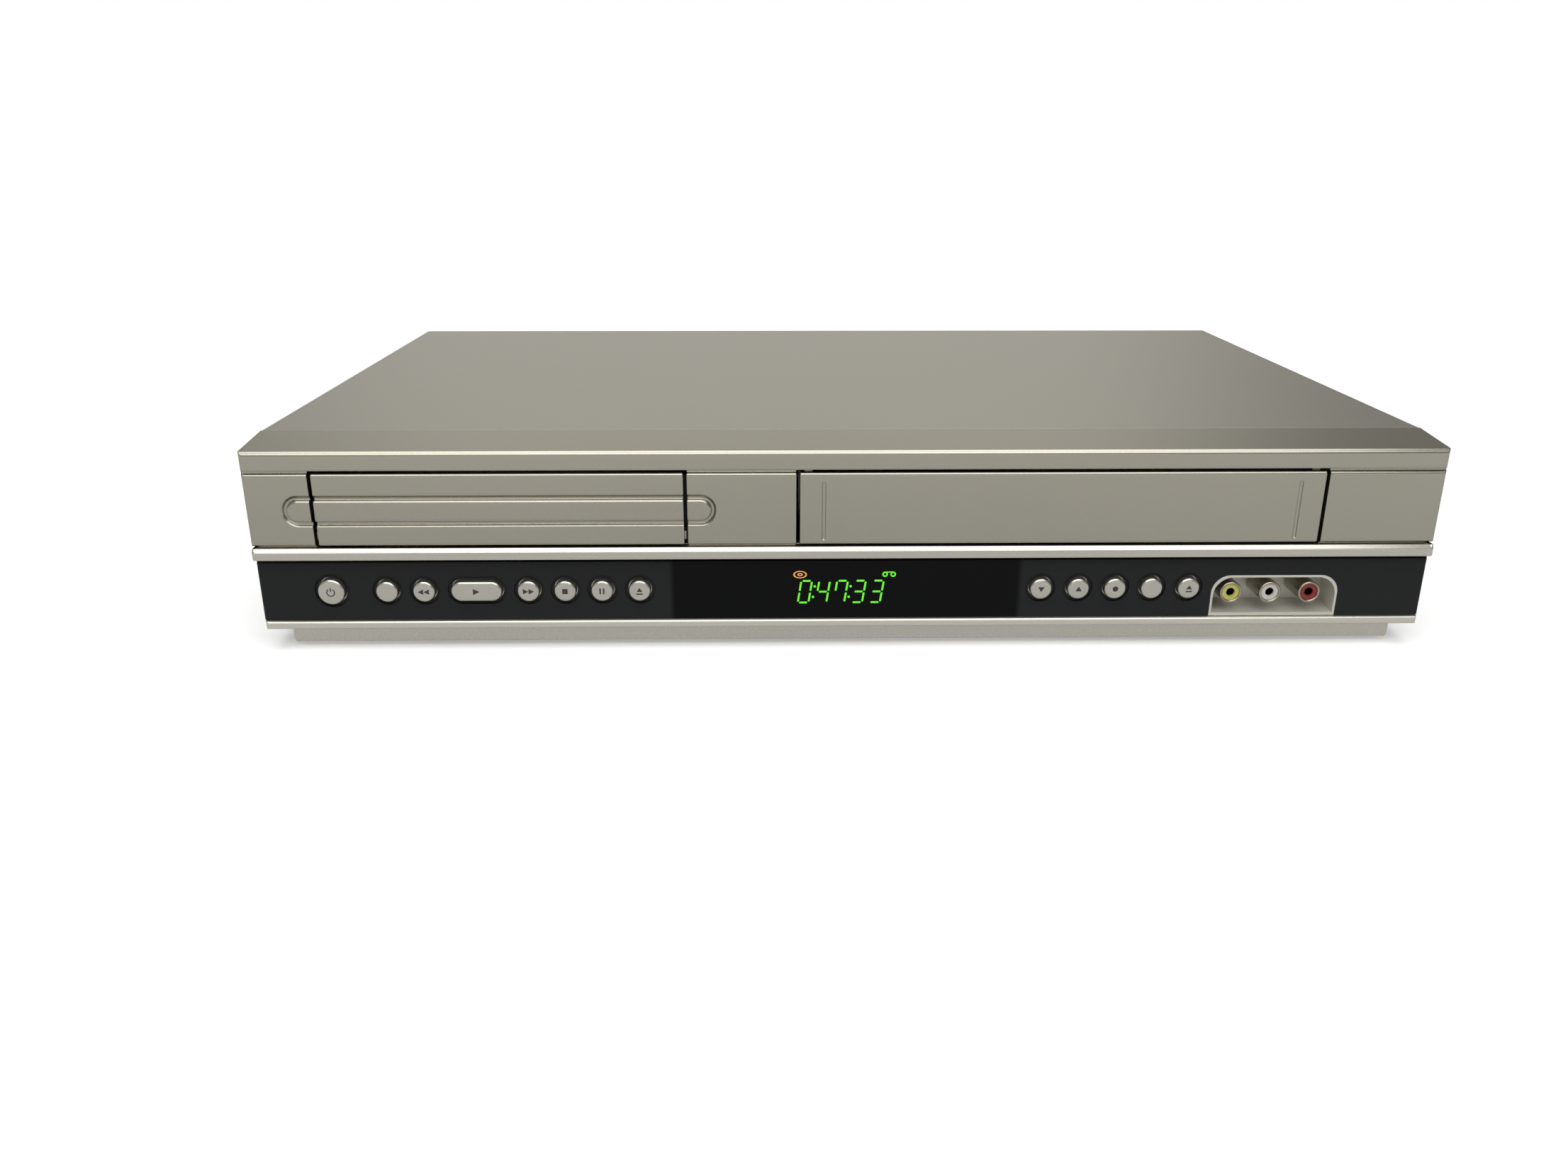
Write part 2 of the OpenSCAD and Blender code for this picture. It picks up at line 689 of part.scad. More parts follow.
// ---- rear panel and sockets ----
rear_w = inner_w - 1;
rear_top = case_h - 0.3 - sheet_t - 0.1;
board_low = floor_z + 4.5;       // underside of the flat boards
board_on = board_low + board_t;
jack_cols = [-34, -18, -2, 14];
jack_rows = [30, 51];
block_d = 13;
block_step = 1.4;
scart_x = right - 129.5;
scart_z = [26, 52];
scart_w = 50;
scart_h = 17;
rf_x = right - 41.5;
rf_z = [30, 51];
rf_r = 4.75;
rf_in = rf_r - 1;
rf_free = 7;        // exposed length that an aerial plug grips
inlet_x = left + 41.5;
inlet_z = 24;
inlet_w = 20;
inlet_h = 13;
inlet_d = 15;

// Figure-eight outline of the mains inlet's hollow.
module figure_eight(r) {
    square([8.6, 2 * r], center = true);
    for (sx = [-1, 1]) translate([sx * 4.3, 0]) circle(r);
}

module rear_panel() {
    y = rear_y - sheet_t;
    color("silver") difference() {
        translate([0, y, case_z]) xbox(rear_w, sheet_t, rear_top - case_z);
        for (z = jack_rows) translate([(jack_cols[0] + jack_cols[3]) / 2, y - 1, z])
            along_y(4) rrect(jack_cols[3] - jack_cols[0] + 14.2, 14.2, 1.1);
        for (z = scart_z) translate([scart_x, y - 1, z]) along_y(4) rrect(scart_w + 0.2, scart_h + 0.2, 1.1);
        for (z = rf_z) translate([rf_x, y - 1, z]) ycyl(rf_r - shell_step + 0.1, 4);
        translate([inlet_x, y - 1, inlet_z]) along_y(4) rrect(inlet_w + 0.2, inlet_h + 0.2, 1.1);
        // cooling slots above the power board
        translate([left + 67.5, y - 1, 58]) along_y(4) slots(16, 6, 2.6, 14);
    }
}

module rear_jack_blocks() {
    x = (jack_cols[0] + jack_cols[3]) / 2;
    w = jack_cols[3] - jack_cols[0] + 14;
    y = rear_y - sheet_t - 0.1;
    color([0.1, 0.1, 0.1]) difference() {
        union() {
            translate([x, y - block_d, board_on]) xbox(w + 4, block_d, jack_rows[1] + 10 - board_on);
            for (z = jack_rows) translate([x, y - eps, z]) along_y(block_step) rrect(w, 14, 1);
            // round multi-pin video socket in the fourth place below
            translate([jack_cols[3], rear_y, jack_rows[0]]) ycyl(6.3, 2.5);
        }
        for (c = [0 : 3], z = jack_rows) if (c < 3 || z == jack_rows[1])
            translate([jack_cols[c], y - 8, z]) ycyl(phono_r - shell_step + 0.02, block_d);
        translate([jack_cols[3], rear_y - 5, jack_rows[0]]) rotate([-90, 0, 0]) difference() {
            cylinder(r = 4.7, h = 9);
            cylinder(r = 2.6, h = 7);
        }
    }
}

// Runs its child at each rear phono socket, with the child's +Y pointing into the case.
module at_rear_jacks() {
    for (c = [0 : 3], z = jack_rows) if (c < 3 || z == jack_rows[1])
        translate([jack_cols[c], rear_y + jack_out, z]) mirror([0, 1, 0]) children();
}
rear_jack_l = jack_out + sheet_t + 8;
module rear_jack_shells() {
    color("silver") at_rear_jacks() phono_shell(rear_jack_l, jack_out - 1.5);
}
module rear_jack_cores() {
    color("white") at_rear_jacks() phono_core(rear_jack_l);
}

module scart_sockets() {
    y = rear_y - sheet_t - 0.1;
    color([0.12, 0.12, 0.12]) difference() {
        union() {
            translate([scart_x, y - block_d, board_on])
                xbox(scart_w + 2, block_d, scart_z[1] + scart_h / 2 + 1 - board_on);
            for (z = scart_z) translate([scart_x, y - eps, z]) along_y(2.4) rrect(scart_w, scart_h, 1);
        }
        for (z = scart_z) translate([scart_x, y - 8, z]) {
            // groove for the plug's skirt, slanted at one end, round the contact block
            along_y(14) difference() {
                polygon([[-23, -6], [20, -6], [23, -1], [23, 6], [-23, 6]]);
                polygon([[-20.5, -3.6], [18.9, -3.6], [20.5, -1], [20.5, 3.6], [-20.5, 3.6]]);
            }
            // contact slots
            for (i = [0 : 9], row = [-1, 1]) translate([-17 + i * 3.8, 3, row * 1.8 - 0.9])
                xbox(1.1, 12, 1.8);
        }
    }
}

module rf_block() {
    y = rear_y - sheet_t - 0.1;
    color("lightgray") {
        translate([rf_x, y - 34, board_on]) xbox(24, 34, rf_z[1] + 9 - board_on);
        for (z = rf_z) translate([rf_x, y - eps, z]) rotate([-90, 0, 0]) {
            tube(rf_r - shell_step, rf_in, jack_out);
            translate([0, 0, jack_out - rf_free]) tube(rf_r, rf_in, rf_free);
            cylinder(r = 1.2, h = jack_out - 1);
        }
    }
}

module mains_inlet() {
    y = rear_y - sheet_t - 0.1;
    color([0.1, 0.1, 0.1]) {
        difference() {
            union() {
                translate([inlet_x, y - inlet_d, board_on])
                    xbox(inlet_w + 4, inlet_d, inlet_z + inlet_h / 2 + 2 - board_on);
                translate([inlet_x, y - eps, inlet_z]) along_y(1.8) rrect(inlet_w, inlet_h, 1);
            }
            translate([inlet_x, y - 12, inlet_z]) along_y(16) figure_eight(4.1);
        }
        for (sx = [-1, 1]) translate([inlet_x + sx * 4.3, y - 12 - eps, inlet_z]) ycyl(1.2, 9);
    }
}

// ---- boards ----
module standoff(x, y) {
    translate([x, y, floor_z]) cylinder(r = 3, h = board_low - floor_z + eps);
}

power_x = left + 10.5;
power_w = 145;
power_y = rear_y - 72;
power_l = rear_y - 5 - power_y;
// Capacitors of the power board: place to the right and back, radius and height.
power_caps = [[99, 16, 9, 26], [119, 16, 6, 20], [119, 32, 6, 20], [101, 38, 4, 14]];
fin_t = 1.2;
fin_pitch = 4;
fin_h = 24;

module power_board() {
    color("tan") {
        translate([power_x, power_y, board_low]) cube([power_w, power_l, board_t]);
        for (x = [6, power_w - 6], y = [6, power_l - 6]) standoff(power_x + x, power_y + y);
        // transformer: core and winding
        translate([power_x + 64, power_y + 8, board_on - eps]) xbox(34, 29, 26);
        translate([power_x + 64, power_y + 12, board_on + 5]) xbox(42, 21, 14);
        for (c = power_caps) translate([power_x + c[0], power_y + c[1], board_on - eps])
            cylinder(r = c[2], h = c[3]);
        // heat sink: five fins on one wall
        for (i = [0 : 4]) translate([power_x + 12 + i * fin_pitch, power_y + 8, board_on - eps])
            xbox(fin_t, 30, fin_h);
        translate([power_x + 20, power_y + 22, board_on - eps]) xbox(4 * fin_pitch + 2, 2, fin_h);
    }
}

main_x = left + 12.5;
main_y = front_y + 34;
main_end_y = power_y - 6;
strip_x = -50;              // strip between the loader and the deck, back to the rear sockets
strip_w = 20;
strip_y = rear_y - 38;
strip_end = right - 12.5;
// Chips: place along X and back from the front face, and side.
chips = [[-160, 60, 28], [-110, 96, 24], [-150, 120, 14], [-80, 60, 14], [-86, 130, 20]];

module main_board() {
    color("darkgreen") difference() {
        main_board_blank();
        // holes for the disc loader's legs
        for (sx = [-1, 1], y = leg_y) translate([disc_x + sx * leg_x, y, board_low - 1])
            cylinder(r = leg_r + 0.5, h = board_t + 2);
    }
}

module main_board_blank() {
    translate([main_x, main_y, board_low]) cube([strip_x - main_x + eps, main_end_y - main_y, board_t]);
    translate([strip_x, main_y, board_low]) cube([strip_w, rear_y - 4 - main_y, board_t]);
    translate([strip_x, strip_y, board_low]) cube([strip_end - strip_x, rear_y - 4 - strip_y, board_t]);
    for (x = [main_x + 6, strip_x + strip_w - 6], y = [main_y + 8, main_end_y - 8]) standoff(x, y);
    for (x = [60, 140, strip_end - 7]) standoff(x, strip_y + 6);
    for (c = chips) translate([c[0], front_y + c[1], board_on - eps]) xbox(c[2], c[2], 1.8);
    // electrolytic capacitors in a row, and the front board's header
    for (i = [0 : 5]) translate([main_x + 15 + i * 9, front_y + 160, board_on - eps])
        cylinder(r = 2.5, h = 8);
    translate([-46, front_y + 40, board_on - eps]) xbox(20, 6, 7);
}

// ---- disc loader ----
tray_y = front_y + wall_t + 1.6;
disc_y = tray_y + 5 + disc_r;
tray_t = 8;
slot_w = 32;
frame_z = 38;               // underside of the loader's base plate
frame_t = 2;
frame_y = front_y + 8;
frame_l = 184;
frame_top = 66;
rail_in = tray_w / 2 + 0.5; // inner face of the frame's side walls
drive_m = 1;
pinion_r = pinion_n * rack_m / 2;
rack_x = disc_x - 52;       // pitch line of the rack
pinion_x = rack_x + pinion_r;
pinion_y = tray_y + 20;
drive_n = 32;
pulley_n = 12;
pulley_x = pinion_x + (drive_n + pulley_n) * drive_m / 2;
pulley_r = 8;
motor_span = 40;
motor_turn = 14;           // the motor lies this many degrees behind the pulley
motor_x = pulley_x + motor_span * cos(motor_turn);
motor_y = pinion_y + motor_span * sin(motor_turn);
motor_r = 3;
belt_z = frame_z + 7;
rack_z = tray_z - 5;
rack_count = floor(tray_travel / (PI * rack_m)) + 3;
post_r = 1.5;
shaft_r = 1;                // spindle motor's shaft
rod_r = 1.5;
rod_x = 19;
rod_z = 44;
sled_y = disc_y + 15.5;
sled_l = 24;
open_y = [disc_y - 18, sled_y + sled_l + sled_travel + 4];  // faces of the rods' cross walls
leg_y = [front_y + 40, front_y + 176];
leg_x = 60;
leg_r = 4;

module disc_tray() {
    color([0.12, 0.12, 0.13]) {
        difference() {
            translate([disc_x, tray_y, tray_z]) linear_extrude(tray_t) translate([0, tray_l / 2])
                rrect(tray_w, tray_l, 3);
            // hollow underside between the runners
            translate([disc_x, tray_y + 3, tray_z - 1]) xbox(tray_w - 14, tray_l, tray_t - 3.6 + 1);
            // steps for a large and a small disc
            translate([disc_x, disc_y, tray_z + tray_t - 1.8]) cylinder(r = disc_r, h = 5, $fn = 96);
            translate([disc_x, disc_y, tray_z + tray_t - 2.6]) cylinder(r = 40.3, h = 5);
            // slot for the turntable and the pickup, open at the back
            translate([disc_x, disc_y, tray_z - 1]) cylinder(r = slot_w / 2, h = 20);
            translate([disc_x, disc_y, tray_z - 1]) xbox(slot_w, tray_l, 20);
            // finger notches beside the disc
            for (sx = [-1, 1]) translate([disc_x + sx * 46, disc_y - 46, tray_z + tray_t - 3])
                cylinder(r = 9, h = 5);
        }
        // runners under both edges
        translate([rack_x, pinion_y, rack_z]) translate([0, -PI * rack_m, 0])
            rack(rack_count, rack_m, 0.25, 5, tray_z - rack_z + 1);
    }
}

module loader_frame() {
    color([0.2, 0.2, 0.21]) difference() {
        union() {
            translate([disc_x, frame_y, frame_z]) xbox(2 * rail_in + 5, frame_l, frame_t);
            for (sx = [-1, 1]) translate([disc_x + sx * (rail_in + 1.25), frame_y, frame_z])
                xbox(2.5, frame_l, frame_top - frame_z);
            // ledges that the tray slides on, and ribs that keep it down
            for (sx = [-1, 1]) {
                translate([disc_x + sx * (rail_in - 1.5), frame_y, tray_z - 2.6]) xbox(3.2, frame_l, 2.3);
                translate([disc_x + sx * (rail_in - 1), frame_y + 12, tray_z + tray_t + 0.3])
                    xbox(2.2, frame_l - 24, 1.6);
            }
            translate([disc_x, frame_y + frame_l - 2.5, frame_z]) xbox(2 * rail_in + 2, 2.5, 9);
            // cross walls that hold the pickup's rods
            for (y = open_y) translate([disc_x, y - 3, frame_z]) xbox(2 * rod_x + 8, 3, rod_z + 3 - frame_z);
            // posts of the gears
            for (x = [pinion_x, pulley_x]) translate([x, pinion_y, frame_z])
                cylinder(r = post_r, h = tray_z - 0.4 - frame_z);
            for (x = [pinion_x, pulley_x]) translate([x, pinion_y, frame_z])
                cylinder(r = 3, h = frame_t + 0.7);
            for (sx = [-1, 1], y = leg_y) translate([disc_x + sx * leg_x, y, floor_z])
                cylinder(r = leg_r, h = frame_z - floor_z + eps);
            for (sx = [-1, 1]) translate([disc_x + sx * (rail_in + 1.25), disc_y, frame_top - eps])
                translate([0, -12, 0]) xbox(2.5, 24, 1);
        }
        translate([disc_x, open_y[0], frame_z - 1]) xbox(2 * rod_x + 2, open_y[1] - open_y[0] - 3, 4);
        for (y = open_y, sx = [-1, 1]) translate([disc_x + sx * rod_x, y - 4, rod_z])
            ycyl(rod_r + 0.02, 5);
        translate([motor_x, motor_y, frame_z - 1]) cylinder(r = 1.5, h = 4);
        for (sx = [-1, 1]) translate([disc_x + sx * 48, disc_y + 84, frame_z - 1]) xbox(26, 16, 4);
    }
}

module drive_gear() {
    color("ivory") translate([pinion_x, pinion_y, 0]) difference() {
        union() {
            translate([0, 0, frame_z + 3]) wheel(drive_n, drive_m, 0.25, 2.6);
            translate([0, 0, frame_z + 3]) cylinder(r = 5, h = rack_z - frame_z - 3 + 0.3);
            translate([0, 0, rack_z + 0.2]) wheel(pinion_n, rack_m, 0.25, tray_z - rack_z - 0.6);
        }
        translate([0, 0, frame_z]) cylinder(r = post_r + shaft_fit, h = 20);
    }
}

module pulley_gear() {
    color("ivory") translate([pulley_x, pinion_y, 0]) difference() {
        union() {
            translate([0, 0, frame_z + 3]) rotate(180 / pulley_n) wheel(pulley_n, drive_m, 0.25, 2.8);
            pulley(pulley_r);
        }
        translate([0, 0, frame_z]) cylinder(r = post_r + shaft_fit, h = 20);
    }
}

// Grooved belt wheel at the height of the belt.
module pulley(r) {
    translate([0, 0, belt_z - 1.3]) rotate_extrude() difference() {
        square([r, 3]);
        translate([r + 0.3, 1.5]) circle(1.1);
    }
}

module motor_pulley() {
    color("ivory") translate([motor_x, motor_y, 0]) {
        pulley(motor_r);
        translate([0, 0, frame_z + 0.1]) cylinder(r = 1, h = belt_z - frame_z - 1.3);
    }
}

// Outline of a loop round two wheels whose middles lie a span apart along X.
module loop_outline(r1, r2, span) {
    touch = acos((r1 - r2) / span);
    inside = 0.01;      // the straight sides end this far inside the circles
    circle(r1);
    translate([span, 0]) circle(r2);
    polygon([for (p = [[0, r1, -1], [span, r2, -1], [span, r2, 1], [0, r1, 1]])
        p[0] * [1, 0] + (p[1] - inside) * [cos(touch), p[2] * sin(touch)]]);
}

module drive_belt() {
    seat = 0.66;        // depth of the belt's seat in the wheels' grooves
    color("black") translate([pulley_x, pinion_y, belt_z - 0.25]) rotate(motor_turn)
        linear_extrude(0.9) difference() {
            loop_outline(pulley_r - seat + 1, motor_r - seat + 1, motor_span);
            loop_outline(pulley_r - seat, motor_r - seat, motor_span);
        }
}

module loading_motor() {
    color("silver") translate([motor_x, motor_y, frame_z - 16]) difference() {
        union() {
            cylinder(r = 10.5, h = 15.9);
            translate([0, 0, -1.2]) cylinder(r = 4, h = 2);
        }
        translate([0, 0, 15]) cylinder(r = 1.6, h = 3);
    }
}

turn_z = tray_z + tray_t - 2.4;     // top of the turntable's rim
module spindle_motor() {
    color("silver") translate([disc_x, disc_y, 0]) difference() {
        union() {
            translate([0, -12.5, frame_z - 1.2]) xbox(2 * rod_x + 6, 24, 1.2);
            translate([0, 0, frame_z - eps]) cylinder(r = 11, h = 5);
            translate([0, 0, frame_z]) cylinder(r = 3, h = 8);
        }
        translate([0, 0, frame_z + 1.5]) cylinder(r = shaft_r + shaft_fit, h = 10);
    }
}

module turntable() {
    color([0.25, 0.25, 0.27]) translate([disc_x, disc_y, 0]) {
        difference() {
            union() {
                translate([0, 0, frame_z + 8.4]) cylinder(r = 12, h = turn_z - frame_z - 8.4);
                translate([0, 0, turn_z - 1.4]) cylinder(r = 14, h = 1.4);
                translate([0, 0, turn_z - eps]) cylinder(r = 7.4, h = 0.9);
                translate([0, 0, turn_z]) cylinder(r = 3.2, h = 1.6);
            }
            translate([0, 0, frame_z + 8]) tube(10.8, 3.4, 4);
        }
        translate([0, 0, frame_z + 1.8]) cylinder(r = shaft_r, h = 10);
    }
}

module pickup_sled() {
    color([0.35, 0.35, 0.38]) translate([disc_x, sled_y, 0]) difference() {
        union() {
            translate([0, 3, frame_z + 4]) xbox(2 * rod_x - 8, sled_l - 6, 7);
            for (sx = [-1, 1]) translate([sx * rod_x, 0, rod_z]) ycyl(3, sled_l);
            translate([0, sled_l / 2, frame_z + 11 - eps]) cylinder(r = 6.5, h = 1.6);
            translate([0, sled_l / 2, frame_z + 12]) cylinder(r = 3, h = 1.8);
            for (sx = [-1, 1]) translate([sx * (rod_x - 4), 5, rod_z - 1.5]) xbox(6, sled_l - 10, 3);
        }
        for (sx = [-1, 1]) translate([sx * rod_x, -1, rod_z]) ycyl(rod_r + shaft_fit, sled_l + 2);
    }
}

module sled_rods() {
    color("silver") for (sx = [-1, 1]) translate([disc_x + sx * rod_x, open_y[0] - 3, rod_z])
        ycyl(rod_r, open_y[1] - open_y[0] + 3);
}

module clamper_bridge() {
    z = frame_top + 1;
    color("silver") translate([disc_x, disc_y, 0]) difference() {
        union() {
            translate([0, -11, z]) xbox(2 * rail_in + 5, 22, 1.2);
            translate([0, 0, z]) cylinder(r = 17, h = 1.2);
        }
        translate([0, 0, z - 1]) cylinder(r = 10, h = 4);
    }
}

module disc_clamper() {
    color([0.2, 0.2, 0.22]) translate([disc_x, disc_y, 0]) difference() {
        union() {
            translate([0, 0, turn_z + 1.3]) cylinder(r = 13, h = 2.4);
            translate([0, 0, turn_z + 3.5]) cylinder(r = 8, h = frame_top + 2.6 - turn_z - 3.5);
            translate([0, 0, frame_top + 2.6 - eps]) cylinder(r = 13, h = 1.4);
        }
        translate([0, 0, turn_z]) cylinder(r = 3.6, h = 2.2);
    }
}

// ---- cassette deck ----
deck_z = floor_z + 14.7;
deck_t = 1.6;
deck_y = front_y + 40;
deck_l = 170;
tape_z = door_z + 0.9;              // underside of a cassette in the doorway
basket_y = front_y + 38;
basket_l = 45;
basket_in = tape_w / 2 + 0.7;
basket_pin_r = 1.6;
basket_pins = [basket_y + 8, basket_y + 36];
basket_pin_z = tape_z + 13;
bracket_in = basket_in + 2.4;
bracket_t = 1.2;
reel_y = front_y + 21 + tape_d / 2;
drum_y = front_y + 168;
drum_z = deck_z + deck_t;
capstan_x = tape_x + 60;
capstan_y = front_y + 134;
capstan_r = 1.5;
roller_r = 6;
roller_x = capstan_x + capstan_r + roller_r + 1.2;
flywheel_r = 24;

module bracket_slots() {
    slot_h = 2 * basket_pin_r + 0.4;
    for (y = basket_pins) {
        // level run, then the drop onto the deck
        translate([y + basket_travel / 2, basket_pin_z])
            pill(basket_travel + slot_h, slot_h);
        translate([y + basket_travel, basket_pin_z - 8.5]) rotate(90)
            pill(17 + slot_h, slot_h);
    }
}

module tape_deck() {
    bracket_y = front_y + 41;
    bracket_l = 98;
    w = 2 * (bracket_in + bracket_t);
    color("lightgray") {
        difference() {
            union() {
                translate([tape_x, deck_y, deck_z]) xbox(w, deck_l, deck_t);
                for (sx = [-1, 1]) translate([tape_x + sx * (bracket_in + bracket_t / 2), bracket_y, deck_z])
                    xbox(bracket_t, bracket_l, rear_top - 9 - deck_z);
                for (sx = [-1, 1], y = [deck_y + 8, deck_y + deck_l - 8])
                    translate([tape_x + sx * 84, y, floor_z]) cylinder(r = 4, h = deck_z - floor_z + eps);
                translate([capstan_x, capstan_y, deck_z - 2]) cylinder(r = 5, h = deck_t + 6);
            }
            for (sx = [-1, 1]) translate([tape_x + sx * (bracket_in + bracket_t / 2), 0, 0])
                rotate([90, 0, 90]) translate([0, 0, -3]) linear_extrude(6) bracket_slots();
            translate([capstan_x, capstan_y, deck_z - 5]) cylinder(r = capstan_r + shaft_fit, h = 20);
            for (sx = [-1, 1]) translate([tape_x + sx * 60, deck_y + 118, deck_z - 1])
                xbox(26, 34, 4);
            for (sx = [-1, 1]) translate([tape_x + sx * reel_pitch / 2, reel_y, deck_z - 1])
                cylinder(r = 2 + shaft_fit, h = 4);
        }
        // studs of the reels, and posts that guide the tape
        for (c = [[-66, 96], [66, 84], [-44, 132], [44, 132], [-80, 112]])
            translate([tape_x + c[0], front_y + c[1], drum_z - eps]) {
                cylinder(r = 1.5, h = 19.5);
                for (z = [3, 17]) translate([0, 0, z]) cylinder(r = 3.2, h = 1.4);
            }
        // arm and stud of the pinch roller
        translate([roller_x, capstan_y, drum_z - eps]) cylinder(r = 1.2, h = 20);
        translate([roller_x - 2, capstan_y - 4, drum_z - eps]) cube([26, 8, 2]);
    }
}

// Tilts its child about the middle of the drum's foot.
module at_drum() {
    translate([tape_x, drum_y, drum_z + 5]) rotate([drum_tilt, 0, 0]) children();
}
drum_split = 15;
module lower_drum() {
    color("silver") {
        translate([tape_x, drum_y, drum_z]) cylinder(r = drum_r - 8, h = 6);
        at_drum() difference() {
            union() {
                cylinder(r = drum_r, h = drum_split, $fn = 96);
                translate([0, 0, drum_split - eps]) cylinder(r = 9, h = 1.2);
            }
            translate([0, 0, 3]) cylinder(r = 3 + shaft_fit, h = 20);
            // step that leads the lower edge of the tape
            translate([0, 0, 4]) difference() {
                tube(drum_r + 2, drum_r - 0.6, 12);
                translate([0, drum_r, 0]) cube([90, 2 * drum_r, 40], center = true);
            }
        }
    }
}

module upper_drum() {
    color("gainsboro") at_drum() difference() {
        union() {
            translate([0, 0, drum_split + 1.5]) cylinder(r = drum_r, h = 13, $fn = 96);
            translate([0, 0, 4]) cylinder(r = 3, h = 20);
            translate([0, 0, drum_split + 14]) cylinder(r = 10, h = 3);
        }
        translate([0, 0, drum_split + 12.5]) tube(drum_r - 3, 12, 4);
        // windows of the video heads
        for (a = [0, 180]) rotate(a) translate([drum_r - 2, -2, drum_split + 1]) cube([4, 4, 2.5]);
    }
}

module capstan() {
    color("silver") translate([capstan_x, capstan_y, 0]) {
        flywheel_z = floor_z + 3;
        translate([0, 0, flywheel_z]) cylinder(r = flywheel_r, h = 5, $fn = 96);
        translate([0, 0, flywheel_z]) cylinder(r = 8, h = 7);
        translate([0, 0, flywheel_z]) cylinder(r = capstan_r, h = deck_z + 26 - flywheel_z);
    }
}

module reel(x) {
    color("dimgray") translate([x, reel_y, 0]) {
        difference() {
            translate([0, 0, drum_z + 0.3]) cylinder(r = 18, h = 3);
            translate([0, 0, drum_z + 1.8]) tube(16, 10, 3);
        }
        translate([0, 0, drum_z + 3]) cylinder(r = 8, h = 4);
        translate([0, 0, drum_z + 3]) cylinder(r = 4, h = 13);
        for (i = [0 : 2]) rotate(i * 120) translate([3.5, -0.8, drum_z + 6]) cube([2, 1.6, 8]);
        translate([0, 0, deck_z - 1]) cylinder(r = 2, h = 4);
    }
}

module pinch_roller() {
    color([0.15, 0.15, 0.15]) translate([roller_x, capstan_y, drum_z + 4])
        tube(roller_r, 1.2 + shaft_fit, 15);
}

module cassette_basket() {
    w = 2 * basket_in;
    top = tape_z + tape_h + 0.4;
    color("silver") {
        difference() {
            union() {
                for (sx = [-1, 1]) translate([tape_x + sx * (basket_in + 0.5), basket_y, tape_z - 1])
                    xbox(1, basket_l, top + 2 - tape_z);
                translate([tape_x, basket_y, tape_z - 1]) xbox(w + 1, basket_l, 1);
                translate([tape_x, basket_y + 1, top]) xbox(w + 1, basket_l - 1, 1);
                // stop tabs at the back
                for (sx = [-1, 1]) translate([tape_x + sx * 70, basket_y + basket_l - 1, tape_z - 1])
                    xbox(16, 1, 12);
            }
            // clearance for the reels and the hub brake, and the sprung tongues' slots
            translate([tape_x, basket_y - 1, tape_z - 2]) xbox(w - 36, basket_l - 9, 3);
            for (x = [-60, 0, 60], s = [-1, 1]) translate([tape_x + x + s * 7, basket_y + 8, top - 1])
                xbox(2, 30, 4);
        }
        for (sx = [-1, 1], y = basket_pins) translate([tape_x + sx * (basket_in + 2.3), y, basket_pin_z])
            rotate([0, 90, 0]) cylinder(r = basket_pin_r, h = 2.8, center = true);
    }
}

bottom_chassis();
top_cover();
rear_panel();
feet();
front_bezel();
mid_rail();
lower_trim();
control_panel();
tray_front();
cassette_flap();
key(standby_x, standby_r);  // button_standby
key(keys[0], key_r);  // button_dubbing
key(keys[1], key_r);  // button_rewind
button_play();
key(keys[2], key_r);  // button_fast_forward
key(keys[3], key_r);  // button_stop
key(keys[4], key_r);  // button_pause
key(keys[5], key_r);  // button_tray
key(keys[6], key_r);  // button_channel_down
key(keys[7], key_r);  // button_channel_up
key(keys[8], key_r);  // button_record
key(keys[9], key_r);  // button_source
key(keys[10], key_r);  // button_eject
av_recess();
front_jack_shells();
front_jack(-1, "khaki");  // front_jack_yellow
front_jack(0, "white");  // front_jack_white
front_jack(1, "firebrick");  // front_jack_red
front_board();
display_tube();
main_board();
power_board();
rear_jack_blocks();
rear_jack_shells();
rear_jack_cores();
scart_sockets();
rf_block();
mains_inlet();
disc_tray();
loader_frame();
drive_gear();
pulley_gear();
motor_pulley();
drive_belt();
loading_motor();
spindle_motor();
turntable();
pickup_sled();
sled_rods();
clamper_bridge();
disc_clamper();
tape_deck();
cassette_basket();
lower_drum();
upper_drum();
capstan();
pinch_roller();
reel(tape_x - reel_pitch / 2);  // supply_reel
reel(tape_x + reel_pitch / 2);  // takeup_reel
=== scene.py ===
"""Looks of a disc and tape combination player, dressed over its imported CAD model."""

import math

import bmesh
import bpy
from mathutils import Matrix, Vector


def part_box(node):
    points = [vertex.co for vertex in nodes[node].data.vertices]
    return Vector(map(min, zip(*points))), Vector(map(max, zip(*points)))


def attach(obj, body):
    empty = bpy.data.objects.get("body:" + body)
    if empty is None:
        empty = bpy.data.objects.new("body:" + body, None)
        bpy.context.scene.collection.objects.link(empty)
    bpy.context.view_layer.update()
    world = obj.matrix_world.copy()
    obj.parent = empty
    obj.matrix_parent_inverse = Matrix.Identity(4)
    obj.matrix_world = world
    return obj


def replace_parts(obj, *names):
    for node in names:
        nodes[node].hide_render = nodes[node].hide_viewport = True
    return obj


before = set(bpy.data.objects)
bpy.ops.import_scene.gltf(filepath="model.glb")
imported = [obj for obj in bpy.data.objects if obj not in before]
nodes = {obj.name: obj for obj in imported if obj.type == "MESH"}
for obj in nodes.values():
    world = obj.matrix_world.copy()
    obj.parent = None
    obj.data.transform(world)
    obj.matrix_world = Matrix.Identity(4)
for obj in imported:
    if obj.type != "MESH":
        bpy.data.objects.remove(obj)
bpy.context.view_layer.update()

MM = 0.001
cover_low, cover_high = (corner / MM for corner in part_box("top_cover"))
panel_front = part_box("control_panel")[0].y / MM
board_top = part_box("rear_jack_blocks")[0].z  # in metres: the rear sockets stand on the boards


# ---- materials ----

